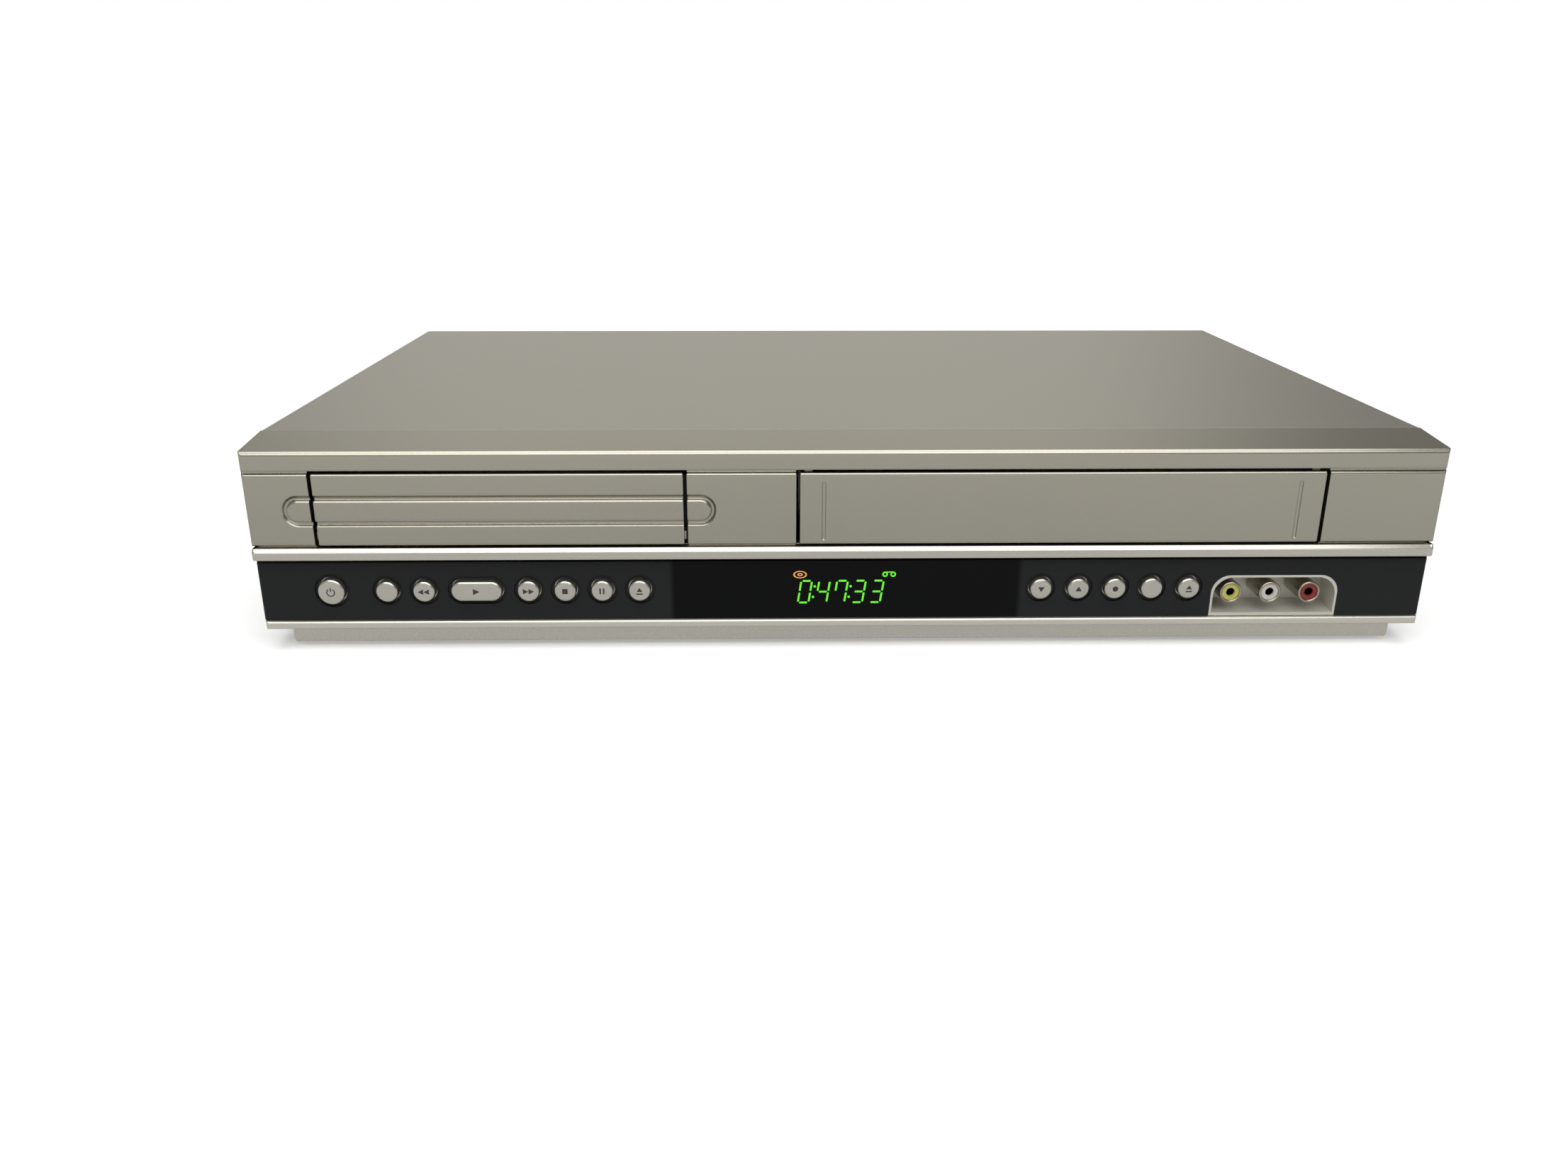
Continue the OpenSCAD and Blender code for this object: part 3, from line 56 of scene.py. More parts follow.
def linear(hex_colour):
    """The linear colour of an sRGB hex value."""
    shares = [int(hex_colour[i:i + 2], 16) / 255 for i in (0, 2, 4)]
    return [s / 12.92 if s <= 0.04045 else ((s + 0.055) / 1.055) ** 2.4 for s in shares] + [1]


def fill(tree, node, inputs):
    """Gives a node its inputs: each is a plain value, or the output of another node."""
    for name, value in inputs.items():
        if isinstance(value, bpy.types.NodeSocket):
            tree.links.new(value, node.inputs[name])
        else:
            node.inputs[name].default_value = value


def add(tree, kind, inputs=None, **settings):
    """Adds a node with its settings and its inputs."""
    made = tree.nodes.new(kind)
    for name, value in settings.items():
        setattr(made, name, value)
    fill(tree, made, inputs or {})
    return made


def start(name):
    """A new material with a shader, its tree, and the place on the object in metres."""
    made = bpy.data.materials.new(name)
    made.use_nodes = True
    tree = made.node_tree
    tree.nodes.clear()
    shader = add(tree, "ShaderNodeBsdfPrincipled")
    add(tree, "ShaderNodeOutputMaterial", {"Surface": shader.outputs[0]})
    place = add(tree, "ShaderNodeTexCoord").outputs["Object"]
    return made, tree, shader, place


SHADE_STOPS = (0.36, 0.64)  # noise values at the darkest and the lightest shade


def grained(name, shades, rough, grain, depth, cloud=40, drift=0.65, edge=0.0, **values):
    """A surface whose shade drifts slowly and whose fine grain breaks up its gloss.

    shades: darkest and lightest colour. rough: lowest and highest roughness.
    grain: size of the grain, and depth: its height, in mm. cloud: size of the drift in mm.
    drift: share of the slow drift in the shade and the gloss, the rest is the grain.
    edge: radius of the paint over the sharp edges, in mm.
    """
    made, tree, shader, place = start(name)
    slow = add(tree, "ShaderNodeTexNoise", {
        "Vector": place, "Scale": 1 / (cloud * MM), "Detail": 3.0, "Roughness": 0.55})
    speck = add(tree, "ShaderNodeTexNoise", {
        "Vector": place, "Scale": 1 / (grain * MM), "Detail": 2.0, "Roughness": 0.6})
    both = add(tree, "ShaderNodeMix", {
        "Factor": drift, "A": speck.outputs["Fac"], "B": slow.outputs["Fac"]})
    colour = add(tree, "ShaderNodeValToRGB", {"Fac": both.outputs[0]})
    for stop, where, shade in zip(colour.color_ramp.elements, SHADE_STOPS, shades):
        stop.position = where
        stop.color = linear(shade)
    gloss = add(tree, "ShaderNodeMapRange", {
        "Value": both.outputs[0], "From Min": 0.3, "From Max": 0.7,
        "To Min": rough[0], "To Max": rough[1]})
    relief = add(tree, "ShaderNodeBump", {
        "Height": speck.outputs["Fac"], "Strength": 1.0, "Distance": depth * MM})
    if edge:
        rounding = add(tree, "ShaderNodeBevel", {"Radius": edge * MM}, samples=8)
        tree.links.new(rounding.outputs["Normal"], relief.inputs["Normal"])
    fill(tree, shader, {
        "Base Color": colour.outputs["Color"], "Roughness": gloss.outputs["Result"],
        "Normal": relief.outputs["Normal"], **values})
    return made


# Precoated steel sheet: warm silver lacquer with fine flake, a soft wide sheen.
enamelled_steel = grained(
    "enamelled_steel", ("9e9b91", "a5a298"), (0.32, 0.38), 0.5, 0.002, cloud=140, drift=0.4,
    edge=0.3, **{"Metallic": 0.95, "Specular Tint": linear("f6f3ec")})
# Sprayed silver ABS of the hood, the doors and the blocks: the same lacquer over a moulding.
silver_lacquer = grained(
    "silver_lacquer", ("989589", "a09c90"), (0.2, 0.25), 0.45, 0.0015, cloud=90, drift=0.3,
    edge=0.7, **{"Metallic": 0.95, "Specular Tint": linear("f8f5ee")})
# The rail under the doors has a smoother coat, which catches a white line along each edge.
rail_lacquer = grained(
    "rail_lacquer", ("b6b3aa", "bcb9af"), (0.18, 0.22), 0.45, 0.0006, cloud=120, drift=0.2,
    edge=0.3, Metallic=0.95)
# The lower rail's coat is duller, and a shade paler than the plinth's: painted light on the rail,
# which stands it off from the plinth under it.
sill_lacquer_painted_light = grained(
    "sill_lacquer_painted_light", ("c9c6bb", "cfccc1"), (0.36, 0.4), 0.45, 0.0006, cloud=120, drift=0.2,
    edge=0.3, Metallic=0.9)
# The plinth's coat is the same lacquer a shade darker: painted shade where the plinth sits back
# under the lower rail, a plain even band.
plinth_lacquer_painted_shade = grained(
    "plinth_lacquer_painted_shade", ("bebbb1", "c4c1b7"), (0.26, 0.3), 0.45, 0.0006, cloud=120, drift=0.2,
    edge=0.3, Metallic=0.9)
# Buttons: pale silver lacquer on small moulded caps, with a clear round edge of light.
cap_lacquer = grained(
    "cap_lacquer", ("b4b2a8", "bab8ae"), (0.22, 0.26), 0.4, 0.0003, cloud=12, drift=0.6,
    Metallic=0.9)
# The socket recess is sprayed like the rails, a little rougher inside; its colour is painted paler
# than the rails', painted light that lifts the recess out of its shade.
recess_lacquer_painted_light = grained(
    "recess_lacquer_painted_light", ("cecbc0", "d6d3c8"), (0.32, 0.4), 0.4, 0.0015, cloud=25, drift=0.3,
    edge=0.25, Metallic=0.3)
# Injection moulded black ABS with a fine spark-eroded grain.
black_abs = grained(
    "black_abs", ("131314", "1a1a1b"), (0.42, 0.56), 0.5, 0.012, cloud=20)
# Satin black ABS of the disc tray: a soft sheen that shows the tray's steps.
tray_abs = grained(
    "tray_abs", ("17171a", "1f1f22"), (0.34, 0.44), 0.6, 0.006, cloud=40)
# Acetal gears: ivory, waxy and even.
acetal = grained(
    "acetal", ("ddd8c6", "e8e4d4"), (0.32, 0.42), 0.6, 0.002, cloud=10)
# Moulded rubber: matt, and dusty in its grain.
rubber = grained("rubber", ("1b1b1b", "262625"), (0.72, 0.85), 0.8, 0.015, cloud=6)
# Polished steel of rods and shafts: one thin bright line along each.
bright_steel = grained(
    "bright_steel", ("b9bab9", "c7c8c6"), (0.14, 0.22), 0.5, 0.0008, cloud=15, Metallic=1.0)
# Nickel plating on the sockets' shells: warm, and scuffed by plugs.
nickel = grained(
    "nickel", ("958e80", "a8a294"), (0.18, 0.3), 0.5, 0.0008, cloud=6, Metallic=1.0)
# Contacts deep in the front sockets, real parts coloured near black: painted shade, so that their
# holes look deep.
contact_painted_shade = grained(
    "contact_painted_shade", ("2b2723", "37322c"), (0.4, 0.5), 0.3, 0.001, cloud=3, Metallic=1.0)
# Zinc plated screws: cooler and duller than the nickel.
zinc_plate = grained(
    "zinc_plate", ("a4a7a9", "b6b8b9"), (0.26, 0.36), 0.4, 0.001, cloud=3, Metallic=1.0)
# Dyed PBT insulators of the sockets: flat, slightly chalky colours.
yellow_pbt = grained("yellow_pbt", ("c6bf5f", "d4cd6b"), (0.38, 0.48), 0.4, 0.003, cloud=4)
white_pbt = grained("white_pbt", ("cfccc2", "dcd9d0"), (0.38, 0.48), 0.4, 0.003, cloud=4)
red_pbt = grained("red_pbt", ("7d231a", "8e2d22"), (0.38, 0.48), 0.4, 0.003, cloud=4)
# Dark grey moulded ABS of the clamper, the reels and the turntable: dull, paler than the tray.
grey_abs = grained("grey_abs", ("37383b", "434448"), (0.4, 0.5), 0.5, 0.006, cloud=20)

LOWER_ROW = ("b7b052", "d5d2c8", "8e2d22", "8e2d22")  # yellow, white, red, red
UPPER_ROW = ("2e7a48", "2c4f96", "8e2d22", "b5662a")  # green, blue, red, orange
COLUMN_PITCH = 16  # mm between neighbouring sockets


def rear_insulators():
    """Dyed PBT of the rear phono sockets: each socket has its own colour, by column and row."""
    made, tree, shader, place = start("rear_pbt")
    low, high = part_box("rear_jack_cores")
    middle = (low + high) / 2
    half_row = COLUMN_PITCH * MM * len(LOWER_ROW) / 2
    axes = add(tree, "ShaderNodeSeparateXYZ", {"Vector": place})
    column = add(tree, "ShaderNodeMapRange", {
        "Value": axes.outputs["X"], "From Min": middle.x - half_row,
        "From Max": middle.x + half_row})
    rows = []
    for shades in (LOWER_ROW, UPPER_ROW):
        row = add(tree, "ShaderNodeValToRGB", {"Fac": column.outputs[0]})
        row.color_ramp.interpolation = "CONSTANT"
        while len(row.color_ramp.elements) < len(shades):
            row.color_ramp.elements.new(0.5)
        for i, (stop, shade) in enumerate(zip(row.color_ramp.elements, shades)):
            stop.position = i / len(shades)
            stop.color = linear(shade)
        rows.append(row.outputs["Color"])
    upper = add(tree, "ShaderNodeMath", {
        0: axes.outputs["Z"], 1: middle.z}, operation="GREATER_THAN")
    colour = add(tree, "ShaderNodeMix", {
        "Factor": upper.outputs[0], "A": rows[0], "B": rows[1]}, data_type="RGBA")
    grain = add(tree, "ShaderNodeTexNoise", {"Vector": place, "Scale": 1 / (0.4 * MM)})
    gloss = add(tree, "ShaderNodeMapRange", {
        "Value": grain.outputs["Fac"], "To Min": 0.36, "To Max": 0.5})
    fill(tree, shader, {"Base Color": colour.outputs[2], "Roughness": gloss.outputs[0]})
    return made


def zinc():
    """Hot-dip galvanised steel: grey crystals that catch the light at their own angles."""
    made, tree, shader, place = start("galvanised_steel")
    spangle = add(tree, "ShaderNodeTexVoronoi", {"Vector": place, "Scale": 1 / (7 * MM)})
    cell = add(tree, "ShaderNodeSeparateColor", {"Color": spangle.outputs["Color"]})
    scratch = add(tree, "ShaderNodeTexNoise", {
        "Vector": place, "Scale": 1 / (0.8 * MM), "Detail": 2.0})
    colour = add(tree, "ShaderNodeValToRGB", {"Fac": cell.outputs["Red"]})
    for stop, shade in zip(colour.color_ramp.elements, ("9fa1a0", "b4b6b4")):
        stop.color = linear(shade)
    gloss = add(tree, "ShaderNodeMapRange", {
        "Value": cell.outputs["Green"], "To Min": 0.34, "To Max": 0.5})
    relief = add(tree, "ShaderNodeBump", {
        "Height": scratch.outputs["Fac"], "Strength": 1.0, "Distance": 0.004 * MM})
    fill(tree, shader, {
        "Base Color": colour.outputs["Color"], "Roughness": gloss.outputs["Result"],
        "Normal": relief.outputs["Normal"], "Metallic": 1.0})
    return made


RING_STEP = math.tau / 20  # distance between two rings of the wave texture at scale 1


def turned(name, shades, centre, pitch):
    """Aluminium turned on a lathe: fine rings, pitch apart, round an upright axis at centre.

    centre and pitch: in mm. Real rings are finer, too fine to show in a render.
    """
    made, tree, shader, place = start(name)
    moved = add(tree, "ShaderNodeMapping", {
        "Vector": place, "Location": [-c * MM for c in centre]})
    rings = add(tree, "ShaderNodeTexWave", {
        "Vector": moved.outputs[0], "Scale": RING_STEP / (pitch * MM), "Distortion": 0.4},
        wave_type="RINGS", rings_direction="Z")
    colour = add(tree, "ShaderNodeValToRGB", {"Fac": rings.outputs["Fac"]})
    for stop, shade in zip(colour.color_ramp.elements, shades):
        stop.color = linear(shade)
    relief = add(tree, "ShaderNodeBump", {
        "Height": rings.outputs["Fac"], "Strength": 0.6, "Distance": 0.01 * MM})
    fill(tree, shader, {
        "Base Color": colour.outputs["Color"], "Metallic": 1.0, "Roughness": 0.24,
        "Normal": relief.outputs["Normal"]})
    return made


OVER_ALL = 1.0  # a height in metres above the whole player


def laminate(name, ground, parts=None):
    """Lacquered circuit board with its tracks, and the moulded parts that stand on it.

    ground: colour of the board and of its tracks. parts: colour of what stands above board_top,
    left out for the upright board, which is coloured as a board all over.
    """
    made, tree, shader, place = start(name)
    axes = add(tree, "ShaderNodeSeparateXYZ", {"Vector": place})
    above = add(tree, "ShaderNodeMath", {
        0: axes.outputs["Z"], 1: board_top if parts else OVER_ALL}, operation="GREATER_THAN")
    tracks = add(tree, "ShaderNodeTexBrick", {
        "Vector": place, "Scale": 1 / (26 * MM), "Mortar Size": 0.03,
        "Color1": linear(ground[0]), "Color2": linear(ground[0]), "Mortar": linear(ground[1])})
    colour = add(tree, "ShaderNodeMix", {
        "Factor": above.outputs[0], "A": tracks.outputs["Color"], "B": linear(parts or ground[0])},
        data_type="RGBA")
    fill(tree, shader, {"Base Color": colour.outputs[2], "Roughness": 0.38})
    return made


WINDOW_HALF, WINDOW_EDGE = 65, 1  # half the smoked window, and half its soft edge


def panel_gloss():
    """Black styrene panel: a fine grain at both ends, and a smooth smoked window between them."""
    made, tree, shader, place = start("black_panel")
    axes = add(tree, "ShaderNodeSeparateXYZ", {"Vector": place})
    off = add(tree, "ShaderNodeMath", {0: axes.outputs["X"]}, operation="ABSOLUTE")
    end = add(tree, "ShaderNodeMapRange", {
        "Value": off.outputs[0], "From Min": (WINDOW_HALF - WINDOW_EDGE) * MM,
        "From Max": (WINDOW_HALF + WINDOW_EDGE) * MM})
    grain = add(tree, "ShaderNodeTexNoise", {
        "Vector": place, "Scale": 1 / (0.45 * MM), "Detail": 2.0})
    colour = add(tree, "ShaderNodeMix", {
        "Factor": end.outputs["Result"], "A": linear("040505"), "B": linear("262727")},
        data_type="RGBA")
    gloss = add(tree, "ShaderNodeMapRange", {
        "Value": end.outputs["Result"], "To Min": 0.05, "To Max": 0.3})
    depth = add(tree, "ShaderNodeMath", {
        0: grain.outputs["Fac"], 1: end.outputs["Result"]}, operation="MULTIPLY")
    relief = add(tree, "ShaderNodeBump", {
        "Height": depth.outputs[0], "Strength": 1.0, "Distance": 0.003 * MM})
    fill(tree, shader, {
        "Base Color": colour.outputs[2], "Roughness": gloss.outputs["Result"],
        "Normal": relief.outputs["Normal"], "IOR": 1.2})
    return made


def lit(name, shade, strength):
    """A lit segment of the display, seen through its filter."""
    made, tree, shader, place = start(name)
    glow = add(tree, "ShaderNodeTexNoise", {"Vector": place, "Scale": 1 / (0.6 * MM)})
    level = add(tree, "ShaderNodeMapRange", {
        "Value": glow.outputs["Fac"], "From Min": 0.3, "From Max": 0.7,
        "To Min": strength * 0.85, "To Max": strength * 1.1})
    fill(tree, shader, {
        "Base Color": linear("050505"), "Roughness": 0.3,
        "Emission Color": linear(shade), "Emission Strength": level.outputs["Result"]})
    return made


# Vacuum fluorescent display: green digits and an orange sign that glow through the window.
green_segment = lit("green_segment", "6cf52c", 1.0)
orange_segment = lit("orange_segment", "f5a94a", 1.1)
# Pad-printed ink of the symbols on the buttons: dark grey and matt.
symbol_ink = grained("symbol_ink", ("302f2b", "393834"), (0.5, 0.6), 0.3, 0.001, cloud=3)
# Injection moulded styrene: dull black ends, and a window that mirrors the room between them.
black_panel = panel_gloss()
# Dyed PBT again: a different flat colour at each rear socket.
rear_pbt = rear_insulators()
# Galvanised sheet: a patchwork of grey crystals.
galvanised_steel = zinc()
# Glass-fibre boards: glossy green solder resist with paler tracks.
SOLDER_RESIST = ("1f5a34", "2e7a48")
front_laminate = laminate("front_laminate", SOLDER_RESIST)
main_laminate = laminate("main_laminate", SOLDER_RESIST, parts="1c1c1e")
# The power board is bare brown phenolic paper with darker parts.
power_laminate = laminate("power_laminate", ("8a6a3c", "a88450"), parts="2a2a30")
# Turned aluminium of the head drum: a bright cylinder with rings on its top.
DRUM_AXIS = (78.1, 32.1, 0)
drum_aluminium = turned("drum_aluminium", ("a9abad", "c4c6c8"), DRUM_AXIS, 1.184)

FINISHES = {
    enamelled_steel: ["top_cover"],
    silver_lacquer: ["front_bezel", "tray_front", "cassette_flap"],
    rail_lacquer: ["mid_rail"],
    plinth_lacquer_painted_shade: ["lower_trim"],
    cap_lacquer: [n for n in nodes if n.startswith("button_")],
    recess_lacquer_painted_light: ["av_recess"],
    black_panel: ["control_panel"],
    galvanised_steel: ["bottom_chassis", "rear_panel", "rf_block", "cassette_basket",
                       "clamper_bridge", "tape_deck", "spindle_motor"],
    rubber: ["feet", "drive_belt", "pinch_roller"],
    nickel: ["front_jack_shells", "rear_jack_shells", "loading_motor"],
    yellow_pbt: ["front_jack_yellow"],
    white_pbt: ["front_jack_white"],
    red_pbt: ["front_jack_red"],
    rear_pbt: ["rear_jack_cores"],
    black_abs: ["rear_jack_blocks", "scart_sockets", "mains_inlet", "loader_frame",
                "display_tube"],
    tray_abs: ["disc_tray"],
    acetal: ["drive_gear", "pulley_gear", "motor_pulley"],
    grey_abs: ["turntable", "disc_clamper", "pickup_sled", "supply_reel", "takeup_reel"],
    bright_steel: ["sled_rods", "capstan"],
    drum_aluminium: ["lower_drum", "upper_drum"],
    front_laminate: ["front_board"],
    main_laminate: ["main_board"],
    power_laminate: ["power_board"],
}
for finish, names in FINISHES.items():
    for name in names:
        nodes[name].data.materials.clear()
        nodes[name].data.materials.append(finish)


# ---- shapes ----

LATHE_STEPS = 28


def wall(shape, low, high):
    """Faces between two closed rings of as many points."""
    for i in range(len(low)):
        j = (i + 1) % len(low)
        shape.faces.new((low[i], low[j], high[j], high[i]))


def lathe(shape, outline):
    """Skin of an outline of radius and height in mm, turned about Z and closed at both ends."""
    turns = [2 * math.pi * i / LATHE_STEPS for i in range(LATHE_STEPS)]
    rings = [[shape.verts.new((r * math.cos(t) * MM, r * math.sin(t) * MM, h * MM))
              for t in turns] for r, h in outline]
    for low, high in zip(rings, rings[1:]):
        wall(shape, low, high)
    shape.faces.new(reversed(rings[0]))
    shape.faces.new(rings[-1])


def prism(shape, outline, bottom, top):
    """Upright prism on an outline in mm."""
    low, high = ([shape.verts.new((x * MM, y * MM, z * MM)) for x, y in outline]
                 for z in (bottom, top))
    shape.faces.new(reversed(low))
    shape.faces.new(high)
    wall(shape, low, high)


def placed(name, data):
    """A new object in the scene, made from a mesh, a lamp or a camera."""
    made = bpy.data.objects.new(name, data)
    bpy.context.scene.collection.objects.link(made)
    return made


def solid(name, build):
    """An object whose mesh the function build fills in."""
    shape = bmesh.new()
    build(shape)
    bmesh.ops.recalc_face_normals(shape, faces=shape.faces)
    mesh = bpy.data.meshes.new(name)
    shape.to_mesh(mesh)
    shape.free()
    return placed(name, mesh)


def growth(out, up, squareness):
    """Share by which a point on a rounded edge moves away from the rounding's centre.

    out, up: the point, seen from that centre. squareness: 0 keeps the edge round, 1 makes it
    square.
    """
    return (math.hypot(out, up) / max(out, up)) ** squareness - 1


# ---- cover ----

FOLD = 2.0  # outer radius of the sheet's folds
FOLD_AT_BACK, FOLD_AT_HOOD = 0.4, 0.9  # squareness of the folds
SIDE_FROM, TOP_FROM = 205, 70  # x and z beyond which the sheet is a side or the top
TOP_LIFT = 0.25


def side_shift(y):
    """How far the cover's sides move out at y: 1 mm behind the hood, nothing at the back."""
    return (cover_high.y - y) / (cover_high.y - cover_low.y)


def tighter_cover():
    """The bent sheet with a tighter fold and its sides nearly flush with the hood's ends."""
    mesh = nodes["top_cover"].data.copy()
    for vertex in mesh.vertices:
        x, y, z = vertex.co / MM
        side = math.copysign(1, x)
        out, up = abs(x) - (cover_high.x - FOLD), z - (cover_high.z - FOLD)
        if out > 0 and up > 0:
            squareness = FOLD_AT_BACK + (FOLD_AT_HOOD - FOLD_AT_BACK) * side_shift(y)
            grow = growth(out, up, squareness)
            x, z = x + side * out * grow, z + up * grow
        if abs(x) > SIDE_FROM:
            x += side * side_shift(y)
        if z > TOP_FROM:
            z += TOP_LIFT
        vertex.co = Vector((x, y, z)) * MM
    return placed("cover_sheet", mesh)


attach(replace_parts(tighter_cover(), "top_cover"), "case")


# ---- rail under the doors ----

RAIL_CORNER = 1.2
CORNER_STEPS = 6
# The rail's section: how far each point lies behind the face, and its height over the underside.
RAIL_SECTION = [(1.75, 0.1), (0.4, 0.0), (0.1, 0.1), (0.0, 0.35), (0.0, 3.0), (0.1, 3.15),
                (0.3, 3.25), (1.05, 4.28), (1.28, 4.43), (1.75, 4.5)]
END_SLOPE = 0.2  # share of the section's depth at the rail's ends, which stand nearly upright
# The solid core behind the section, in from the rail's front, sides, underside and top.
CORE_FRONT, CORE_BACK, CORE_SIDE, CORE_LOW, CORE_HIGH = 1.6, 5.2, 1.9, 0.2, 0.1


def rail_moulding():
    """Rail with a bright slope on top of an upright face, carried round both corners."""
    low, high = (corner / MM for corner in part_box("mid_rail"))
    path = [((low.x, high.y), (-1, 0))]
    for start_deg, x in ((180, low.x + RAIL_CORNER), (270, high.x - RAIL_CORNER)):
        for step in range(CORNER_STEPS + 1):
            turn = math.radians(start_deg + 90 / CORNER_STEPS * step)
            nx, ny = math.cos(turn), math.sin(turn)
            path.append(((x + RAIL_CORNER * nx, low.y + RAIL_CORNER + RAIL_CORNER * ny), (nx, ny)))
    path.append(((high.x, high.y), (1, 0)))

    def build(shape):
        rings = []
        for (px, py), (nx, ny) in path:
            depth = 1 - (1 - END_SLOPE) * nx * nx
            rings.append([shape.verts.new((
                (px - nx * inset * depth) * MM, (py - ny * inset * depth) * MM,
                (low.z + up) * MM)) for inset, up in RAIL_SECTION])
        for one, two in zip(rings, rings[1:]):
            wall(shape, one, two)
        shape.faces.new(rings[0])
        shape.faces.new(reversed(rings[-1]))
        left, right = low.x + CORE_SIDE, high.x - CORE_SIDE
        front, back = low.y + CORE_FRONT, low.y + CORE_BACK
        prism(shape, [(left, front), (right, front), (right, back), (left, back)],
              low.z + CORE_LOW, high.z - CORE_HIGH)

    moulding = solid("rail_moulding", build)
    moulding.data.materials.append(rail_lacquer)
    return moulding


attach(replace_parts(rail_moulding(), "mid_rail"), "case")


# ---- rail over the plinth ----

SILL_HEIGHT = 2.5
SILL_NOSE = 0.9  # radius of the rail's nose
SILL_DROP = 0.45  # how much lower the nose hangs
PLINTH_CORNER = 2.8  # radius of the plinth's lower corners
CORNER_REACH = 12.3  # how far in from the rail's ends the plinth's corners change
NOSE_SQUARENESS, CORNER_SQUARENESS = 0.6, 0.8
TOLERANCE = 0.01  # takes in the points where the nose meets the underside
# Below this height the plinth's faces take the darker copy of the lacquer: painted shade.
UNDER_SILL = 0.1  # from the lowered rail to where the plinth's shade starts


def fuller_sill():
    """The lower rail and its plinth.

    The rail has a squarer nose that hangs a little lower, and the plinth has squarer corners.
    """
    mesh = nodes["lower_trim"].data.copy()
    low, high = (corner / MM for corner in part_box("lower_trim"))
    nose, under = low.y + SILL_NOSE, high.z - SILL_HEIGHT + SILL_NOSE
    corner_x, corner_z = high.x - CORNER_REACH, low.z + PLINTH_CORNER
    border = high.z - SILL_HEIGHT - SILL_DROP - UNDER_SILL
    for vertex in mesh.vertices:
        x, y, z = vertex.co / MM
        out, down = nose - y, under - z
        if out > -TOLERANCE and down > 0:
            grow = growth(out, down, NOSE_SQUARENESS)
            vertex.co = Vector((x, y - out * grow, z - down * grow - SILL_DROP)) * MM
        out, down = abs(x) - corner_x, corner_z - z
        if out > 0 and down > 0:
            grow = growth(out, down, CORNER_SQUARENESS)
            vertex.co = Vector((x + math.copysign(out * grow, x), y, z - down * grow)) * MM
    # The rail's faces take the paler copy and the plinth's faces the darker one: painted light and
    # painted shade on one moulding.
    mesh.materials.clear()
    mesh.materials.append(sill_lacquer_painted_light)
    mesh.materials.append(plinth_lacquer_painted_shade)
    for face in mesh.polygons:
        face.material_index = int(face.center.z / MM < border)
    return placed("sill_and_plinth", mesh)


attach(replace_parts(fuller_sill(), "lower_trim"), "case")


# ---- symbols and display ----

def arc(radius, start_deg, end_deg, step=12):
    """Points of an arc, in mm, from start to end in degrees."""
    n = max(2, round(abs(end_deg - start_deg) / step))
    turns = [math.radians(start_deg + (end_deg - start_deg) * i / n) for i in range(n + 1)]
    return [(radius * math.cos(t), radius * math.sin(t)) for t in turns]


def band(outer, inner, start_deg, end_deg):
    """Outline of a curved band between two radii."""
    return arc(outer, start_deg, end_deg) + arc(inner, end_deg, start_deg)


def shifted(outline, x, z):
    """The outline moved by x and z."""
    return [(px + x, pz + z) for px, pz in outline]


def triangle(x, z, w, h):
    """Triangle that points to +X, or to -X where w is negative, with its middle at x, z."""
    return [(x - w / 2, z - h / 2), (x + w / 2, z), (x - w / 2, z + h / 2)]


def bar(x, z, w, h):
    """Upright rectangle with its middle at x, z."""
    return [(x - w / 2, z - h / 2), (x + w / 2, z - h / 2), (x + w / 2, z + h / 2),
            (x - w / 2, z + h / 2)]


INK = 0.03  # how far a mark stands proud of its face, and how far it reaches in


def printed(name, outlines, x, z, face_y, body, material):
    """Flat marks that stand proud of a face that looks to the front. Sizes in mm."""
    def build(shape):
        for outline in outlines:
            front, back = ([shape.verts.new((
                (x + px) * MM, (face_y + depth) * MM, (z + pz) * MM)) for px, pz in outline]
                for depth in (-INK, INK))
            shape.faces.new(front)
            shape.faces.new(reversed(back))
            wall(shape, back, front)

    piece = solid(name, build)
    piece.data.materials.append(material)
    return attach(piece, body)


# Transport symbols, each round the middle of its button, in mm. Tray and eject share one.
TRAY = [[(-1.1, -0.3), (1.1, -0.3), (0, 1.3)], bar(0, -1.15, 2.4, 0.5)]
SYMBOLS = {
    "button_standby": [band(1.62, 1.2, 125, 415), bar(0, 1.1, 0.42, 1.5)],
    "button_rewind": [triangle(-1.15, 0, -2.0, 2.1), triangle(0.95, 0, -2.0, 2.1)],
    "button_play": [triangle(0, 0, 2.4, 2.4)],
    "button_fast_forward": [triangle(-0.95, 0, 2.0, 2.1), triangle(1.15, 0, 2.0, 2.1)],
    "button_stop": [bar(0, 0, 2.0, 2.0)],
    "button_pause": [bar(-0.65, 0, 0.6, 2.3), bar(0.65, 0, 0.6, 2.3)],
    "button_tray": TRAY,
    "button_channel_down": [[(-1.2, 0.85), (0, -1.05), (1.2, 0.85)]],
    "button_channel_up": [[(-1.2, -0.85), (1.2, -0.85), (0, 1.05)]],
    "button_record": [arc(1.05, 0, 345, 15)],
    "button_eject": TRAY,
}
for name, outlines in SYMBOLS.items():
    low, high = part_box(name)
    middle = (low + high) / 2 / MM
    printed(name.replace("button", "symbol"), outlines, middle.x, middle.z, low.y / MM, name,
            symbol_ink)

DIGIT_W, DIGIT_H, STROKE = 4.0, 8.6, 0.72
TIP = 0.3 * STROKE  # how far a segment's pointed end reaches
LEVEL_GAP, UPRIGHT_GAP = 0.62 * STROKE, 0.42 * STROKE  # from a digit's corner to the point
SLANT = math.tan(math.radians(8.5))
SEGMENTS = {"0": "abcdef", "4": "bcfg", "7": "abcf", "3": "abcdg"}


